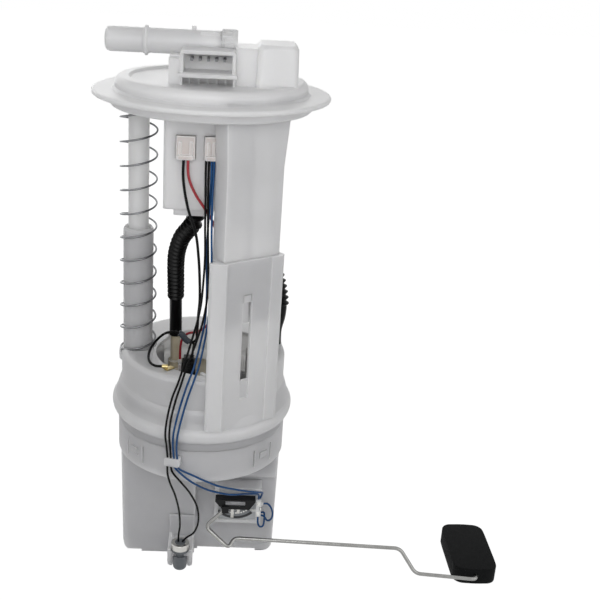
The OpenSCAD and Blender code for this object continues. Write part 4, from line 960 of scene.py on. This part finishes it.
    def fixed(self) -> list[Lead]:
        """List the leads that stay on the reservoir.

        Returns:
            Leads that keep their shape.
        """
        black = {"finish": BLACK_INSULATION, "slot": "black_insulation", "hangs": False}
        blue = {"finish": BLUE_INSULATION, "slot": "blue_insulation", "hangs": False}
        slate = {"finish": SHRINK_SLEEVE, "slot": "shrink_sleeve", "hangs": False}
        return [
            Lead("thermistor_tail_left", "thermistor_tails", self.black_tail_a, **black),
            Lead("thermistor_tail_right", "thermistor_tails", self.black_tail_b, **black),
            Lead("sender_tail_low", "sender_tails", self.blue_tail_a, **blue),
            Lead("sender_tail_high", "sender_tails", self.blue_tail_b, **blue),
            Lead("ground_loop_pump", "ground_lead", self.ground_a, diameter=self.power_d, **black),
            Lead("ground_loop_tab", "ground_lead", self.ground_b, diameter=self.power_d, **black),
            Lead("splice_tube", "splice_sleeve", self.sleeve, diameter=self.sleeve_d, **slate),
            Lead("jumper_outer", "sender_jumpers", self.jumper_a, **blue),
            Lead("jumper_lower", "sender_jumpers", self.jumper_b, **blue),
        ]

    def build(self) -> None:
        """Lay every lead."""
        for lead in self.across() + self.fixed():
            lead.build()


@dataclass
class FloatGauge:
    """Bent wire arm and foam float of the level sender."""

    wire: float = 2.5
    corners: Route = (
        (18.5, -29.3, 46.4), (5.6, -32, 34), (21.6, -40, 23), (24.5, -34, 27), (134.7, -38, 26),
        (146, -42, 9.5), (185.5, -44.5, 8.3), (187.5, -41, 8.3), (187.5, 3, 8.3),
    )
    bend: float = 4.0
    foam_box: Box = ((173.0, -39.5, 1.0), (202.0, 12.5, 12.5))
    foam_corner: float = 7.0
    foam_edge: float = 1.4

    def arm(self) -> None:
        """Bend the wire from the hub, round its stop, to its end in the float."""
        line = bent(self.corners, self.bend, steps=8)
        mesh = tube_mesh(line, self.wire / 2, sides=5)
        arm = finish_piece("arm_wire", mesh, [ZINC_WIRE], "zinc_wire")
        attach(arm, Body.SENDER.value)
        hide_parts("float_arm")

    def foam(self) -> None:
        """Mould the float with rounded corners and edges."""
        form = Form()
        form.slab(*self.foam_box, self.foam_corner, self.foam_edge)
        foam = finish_piece("foam_float", form.mesh(), [NITRILE_FOAM], "nitrile_foam", sharp_deg=60)
        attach(foam, Body.SENDER.value)
        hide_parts("level_float")

    def build(self) -> None:
        """Build the arm and the float."""
        self.arm()
        self.foam()
        LOG.info("float gauge built")


@dataclass
class SenderTrim:
    """Printed tracks, insert and contacts of the level sender, too fine for the drawing."""

    pivot: tuple[float, float] = (25.0, 51.0)
    card_front: float = -22.3
    hub_front: float = -30.0
    dash_radius: float = 12.4
    track_radius: float = 15.7
    first_deg: float = 222.0
    last_deg: float = 314.0
    dashes: int = 12
    dash_half: tuple[float, float] = (0.5, 0.52)
    track_half: float = 0.9
    glaze_half: float = 1.2
    sunk: float = 0.05
    glaze_lift: float = 0.05
    track_lift: float = 0.12
    dash_lift: float = 0.15
    insert_bar: Box = ((-6.8, 0.2, -1.6), (6.3, 1.4, 1.2))
    insert_ends: tuple[Box, ...] = (
        ((-6.8, -0.4, -0.7), (-4.4, 0.3, 0.5)),
        ((3.9, -0.4, -0.7), (6.3, 0.3, 0.5)),
    )
    contact_levels: tuple[float, float] = (38.8, 46.4)
    contact: Box = ((38.9, -25.7, 0.0), (41.0, -24.9, 3.4))
    dimple: Box = ((39.4, -26.1, 1.2), (40.5, -25.5, 2.2))
    bridge_levels: tuple[float, float] = (41.2, 47.0)
    bridge: Box = ((34.6, -22.6, 0.0), (39.2, -22.2, 0.7))
    latch: Box = ((40.9, -25.6, 43.2), (42.4, -24.6, 45.6))

    def upright(self, degrees: float, radius: float) -> Matrix:
        """Turn about the pivot that carries a mark to its place on a track.

        Args:
            degrees: angle from +X towards +Z.
            radius: radius of the track.

        Returns:
            Transform in millimetres.
        """
        x, z = self.pivot
        turn = Matrix.Rotation(-math.radians(degrees), 4, "Y")
        out = Matrix.Translation((radius, 0, 0))
        return Matrix.Translation((x, self.card_front, z)) @ turn @ out

    def arc(
        self, form: Form, inner: float, outer: float, lift: float, ink: Ink, steps: int = 44
    ) -> None:
        """Print one curved band on the card.

        Args:
            form: form that takes the band.
            inner: inner radius of the band.
            outer: outer radius of the band.
            lift: how far the ink stands out of the card's face.
            ink: what the band is printed with.
            steps: short straight pieces that the curve is made of.
        """
        start = self.upright(self.first_deg, 0)
        corners = ((inner, -lift), (outer, -lift), (outer, self.sunk), (inner, self.sunk))
        shape = form.shape
        printed = set(shape.faces)
        section = shape.faces.new([shape.verts.new(start @ Vector((r, y, 0))) for r, y in corners])
        bmesh.ops.spin(
            shape, geom=[section, *section.edges, *section.verts],
            cent=(self.pivot[0], 0, self.pivot[1]), axis=(0, -1, 0),
            angle=math.radians(self.last_deg - self.first_deg), steps=steps, use_duplicate=False,
        )
        band = [face for face in shape.faces if face not in printed]
        bmesh.ops.recalc_face_normals(shape, faces=band)
        form.paint(band, ink.value)

    def tracks(self) -> None:
        """Print the glazed band, its silver dashes and the dark resistor track on the card."""
        form = Form()
        inner, outer = self.track_radius - self.track_half, self.track_radius + self.track_half
        self.arc(form, self.dash_radius - self.glaze_half, inner, self.glaze_lift, Ink.GLAZE)
        self.arc(form, inner, outer, self.track_lift, Ink.TRACK)
        step = (self.last_deg - self.first_deg) / (self.dashes - 1)
        wide, long = self.dash_half
        low, high = (-wide, -self.dash_lift, -long), (wide, self.sunk, long)
        for i in range(self.dashes):
            turn = self.upright(self.first_deg + step * i, self.dash_radius)
            form.block(low, high, 0, Ink.SILVER.value, turn)
        inks = [SILVER_INK, CARD_INK, CARD_GLAZE]
        printed = finish_piece("card_tracks", form.mesh(), inks, "ceramic_card")
        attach(printed, Body.RESERVOIR.value)

    def insert(self) -> None:
        """Set the pale insert and its two raised ends in the hub's window."""
        window = Matrix.Translation((self.pivot[0], self.hub_front, self.pivot[1]))
        form = Form()
        form.block(*self.insert_bar, edge=0.3, turn=window)
        for end in self.insert_ends:
            form.block(*end, edge=0.2, turn=window)
        pale = finish_piece("hub_insert", form.mesh(), [CUP_ACETAL], "white_acetal")
        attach(pale, Body.SENDER.value)

    def contacts(self) -> None:
        """Put the silvered contacts, their bridges and the dark latch on the terminal block."""
        form = Form()
        for level in self.contact_levels:
            lift = Matrix.Translation((0, 0, level))
            form.block(*self.contact, edge=0.25, turn=lift)
            form.block(*self.dimple, edge=0.15, turn=lift)
        for level in self.bridge_levels:
            form.block(*self.bridge, edge=0.1, turn=Matrix.Translation((0, 0, level)))
        form.block(*self.latch, edge=0.2, paint=1)
        finishes = [SILVER_INK, BLACK_NYLON]
        metal = finish_piece("terminal_contacts", form.mesh(), finishes, "tin_brass")
        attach(metal, Body.RESERVOIR.value)

    def build(self) -> None:
        """Add every small piece of the sender."""
        self.tracks()
        self.insert()
        self.contacts()
        LOG.info("sender trimmed")


@dataclass
class ThermistorCollar:
    """Bright crimped collar on the thermistor's capsule."""

    centre: tuple[float, float] = (-10.7, -32.0)
    radius: float = 5.95
    low: float = 16.6
    high: float = 21.0
    soft: float = 0.3

    def build(self) -> None:
        """Turn the collar and seat it on the capsule."""
        form = Form()
        r, low, high, soft = self.radius, self.low, self.high, self.soft
        below = [(0, low), (r - soft, low), (r, low + soft)]
        outline = [*below, (r, high - soft), (r - soft, high), (0, high)]
        form.turned(outline, (*self.centre, 0))
        collar = finish_piece("thermistor_collar", form.mesh(), [NICKEL_SILVER], "nickel_silver")
        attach(collar, Body.RESERVOIR.value)
        LOG.info("thermistor collar turned")


@dataclass
class CadDressing:
    """Finish of each CAD node that keeps its own shape."""

    groups: tuple[tuple[Finish, tuple[str, ...]], ...] = (
        (COVER_ACETAL_PAINTED_LIGHT, ("flange_cover", "pipe_end_cap")),
        (TIN_PAINTED_SHADE, ("terminal_pins",)),
        (STAINLESS, ("pressure_regulator", "regulator_clip", "pump_shell")),
        (FLUORO_RUBBER, ("regulator_o_ring", "umbrella_valve", "pump_isolator")),
        (NATURAL_ACETAL, (
            "filter_housing", "guide_leg", "guide_rod", "rod_stop_ring", "reservoir_lid",
            "jet_pump", "pump_holder",
        )),
        (FILTER_PAPER, ("filter_element",)),
        (IVORY_NYLON, ("power_plug", "sender_plug", "feed_terminal")),
        (CUP_ACETAL, ("reservoir_cup", "wire_clip", "thermistor_bracket", "sender_bracket")),
        (STRAINER_MESH, ("inlet_strainer",)),
        (GREY_NYLON, ("pump_inlet_cap", "thermistor")),
        (CREAM_ACETAL, ("pump_outlet_cap",)),
        (FERRITE, ("pump_magnets",)),
        (ARMATURE, ("pump_rotor",)),
        (BLACK_NYLON, ("pump_plug", "float_hub")),
        (TINNED_BRASS, ("ground_tab",)),
        (ALUMINA_CARD, ("resistor_card",)),
        (WHITE_ACETAL, ("sender_terminals",)),
        (NICKEL_SILVER, ("wiper_contact",)),
    )

    def build(self) -> None:
        """Put the finishes on the CAD nodes."""
        for finish, names in self.groups:
            for name in names:
                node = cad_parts.get(name)
                if node is None:
                    LOG.warning("no CAD node named %s", name)
                    continue
                node.data.materials.clear()
                node.data.materials.append(finish.material())
        LOG.info("CAD nodes dressed")


@dataclass(frozen=True)
class Lamp:
    """Soft square lamp of the studio, in millimetres and watts."""

    name: str
    place: Point
    aim: Point
    size: float
    power: float

    def hang(self) -> None:
        """Hang the lamp and turn it to its aim."""
        data = bpy.data.lights.new(self.name, "AREA")
        data.size = self.size * MM
        data.energy = self.power
        lamp = link_object(self.name, data)
        lamp.location = Vector(self.place) * MM
        sight = Vector(self.aim) - Vector(self.place)
        lamp.rotation_euler = sight.to_track_quat("-Z", "Y").to_euler()


# What the lamps aim at: the module's middle and its cover
MIDDLE = (20.0, 0.0, 170.0)
CROWN = (0.0, 0.0, 330.0)


@dataclass
class Studio:
    """Camera of the photograph, soft lights and a white floor."""

    place: Point = (14.5, -570.9, 404.7)
    pitch_deg: float = 21.2
    yaw_deg: float = 1.8
    roll_deg: float = 3.0
    lens: float = 57.8
    shift_x: float = 0.0727
    sensor: float = 36.0
    lamps: tuple[Lamp, ...] = (
        Lamp("key_lamp", (-700, -700, 800), MIDDLE, 700, 0.8),
        Lamp("fill_lamp", (800, -600, 380), MIDDLE, 800, 1.75),
        Lamp("crown_lamp", (-60, -470, 440), CROWN, 320, 0.95),
        Lamp("top_lamp", (0, 150, 1100), MIDDLE, 900, 0.4),
        Lamp("back_lamp", (-250, 900, 500), MIDDLE, 800, 2.6),
    )
    soft_tone: str = "#F7F7F7"
    soft_light: float = 0.27
    floor_tone: str = "#EDEDEE"
    floor_glow: float = 1.15
    floor_share: float = 0.85
    floor_half: float = 4000.0
    floor_drop: float = 0.2

    def camera(self) -> None:
        """Stand the camera where the photograph was taken."""
        data = bpy.data.cameras.new("photo_camera")
        data.lens, data.sensor_width = self.lens, self.sensor
        data.shift_x = self.shift_x
        data.clip_start, data.clip_end = 0.01, 50.0
        camera = link_object("photo_camera", data)
        turn = (
            Matrix.Rotation(-math.radians(self.yaw_deg), 4, "Z")
            @ Matrix.Rotation(math.radians(90 - self.pitch_deg), 4, "X")
            @ Matrix.Rotation(math.radians(self.roll_deg), 4, "Z")
        )
        camera.matrix_world = Matrix.Translation(Vector(self.place) * MM) @ turn
        bpy.context.scene.camera = camera

    def seen(self, tree: Tree) -> Socket:
        """Tell the rays that show a background, straight or by a gloss, from those that light.

        Args:
            tree: node tree of the world or the floor.

        Returns:
            1 for a camera, glossy or transmission ray, and 0 for the rest.
        """
        path = add_node(tree, "ShaderNodeLightPath")
        shown = path.outputs["Is Camera Ray"]
        for name in ("Is Glossy Ray", "Is Transmission Ray"):
            either = add_node(
                tree, "ShaderNodeMath", {"operation": "MAXIMUM"}, {0: shown, 1: path.outputs[name]}
            )
            shown = either.outputs["Value"]
        return shown

    def world(self) -> None:
        """Light evenly from all round, and show white behind the object."""
        world = bpy.data.worlds.new("studio_world")
        bpy.context.scene.world = world
        tree = empty_tree(world)
        soft = add_node(
            tree, "ShaderNodeBackground", None,
            {"Color": linear(self.soft_tone), "Strength": self.soft_light},
        )
        plain = add_node(tree, "ShaderNodeBackground", None, {"Color": WHITE, "Strength": 1.0})
        mixed = add_node(
            tree, "ShaderNodeMixShader", None,
            {0: self.seen(tree), 1: soft.outputs["Background"], 2: plain.outputs["Background"]},
        )
        add_node(tree, "ShaderNodeOutputWorld", None, {"Surface": mixed.outputs["Shader"]})

    def floor(self) -> None:
        """Lay a white floor that keeps a faint shadow."""
        form = Form()
        bmesh.ops.create_grid(form.shape, x_segments=1, y_segments=1, size=self.floor_half)
        mesh = form.mesh()
        floor = link_object("studio_floor", mesh)
        floor.location = (0, 0, -self.floor_drop * MM)
        white = bpy.data.materials.new("studio_floor_paint")
        tree = empty_tree(white)
        matt = add_node(tree, "ShaderNodeBsdfDiffuse", None, {"Color": linear(self.floor_tone)})
        glow = add_node(
            tree, "ShaderNodeEmission", None, {"Color": WHITE, "Strength": self.floor_glow}
        )
        share = add_node(
            tree, "ShaderNodeMath", {"operation": "MULTIPLY"},
            {0: self.seen(tree), 1: self.floor_share},
        )
        mixed = add_node(
            tree, "ShaderNodeMixShader", None,
            {0: share.outputs["Value"], 1: matt.outputs["BSDF"], 2: glow.outputs["Emission"]},
        )
        add_node(tree, "ShaderNodeOutputMaterial", None, {"Surface": mixed.outputs["Shader"]})
        mesh.materials.append(white)

    def build(self) -> None:
        """Set the camera, the world, the floor and the lamps."""
        bpy.context.scene.view_settings.view_transform = "Standard"
        self.camera()
        self.world()
        self.floor()
        for lamp in self.lamps:
            lamp.hang()
        LOG.info("studio lit")


def main() -> None:
    """Build the scene in order."""
    logging.basicConfig(level=logging.INFO, format="%(message)s")
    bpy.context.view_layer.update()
    Studio().build()
    CadDressing().build()
    ReturnSpring().build()
    Hoses().build()
    Wiring().build()
    FloatGauge().build()
    SenderTrim().build()
    ThermistorCollar().build()


if __name__ == "__main__":
    main()
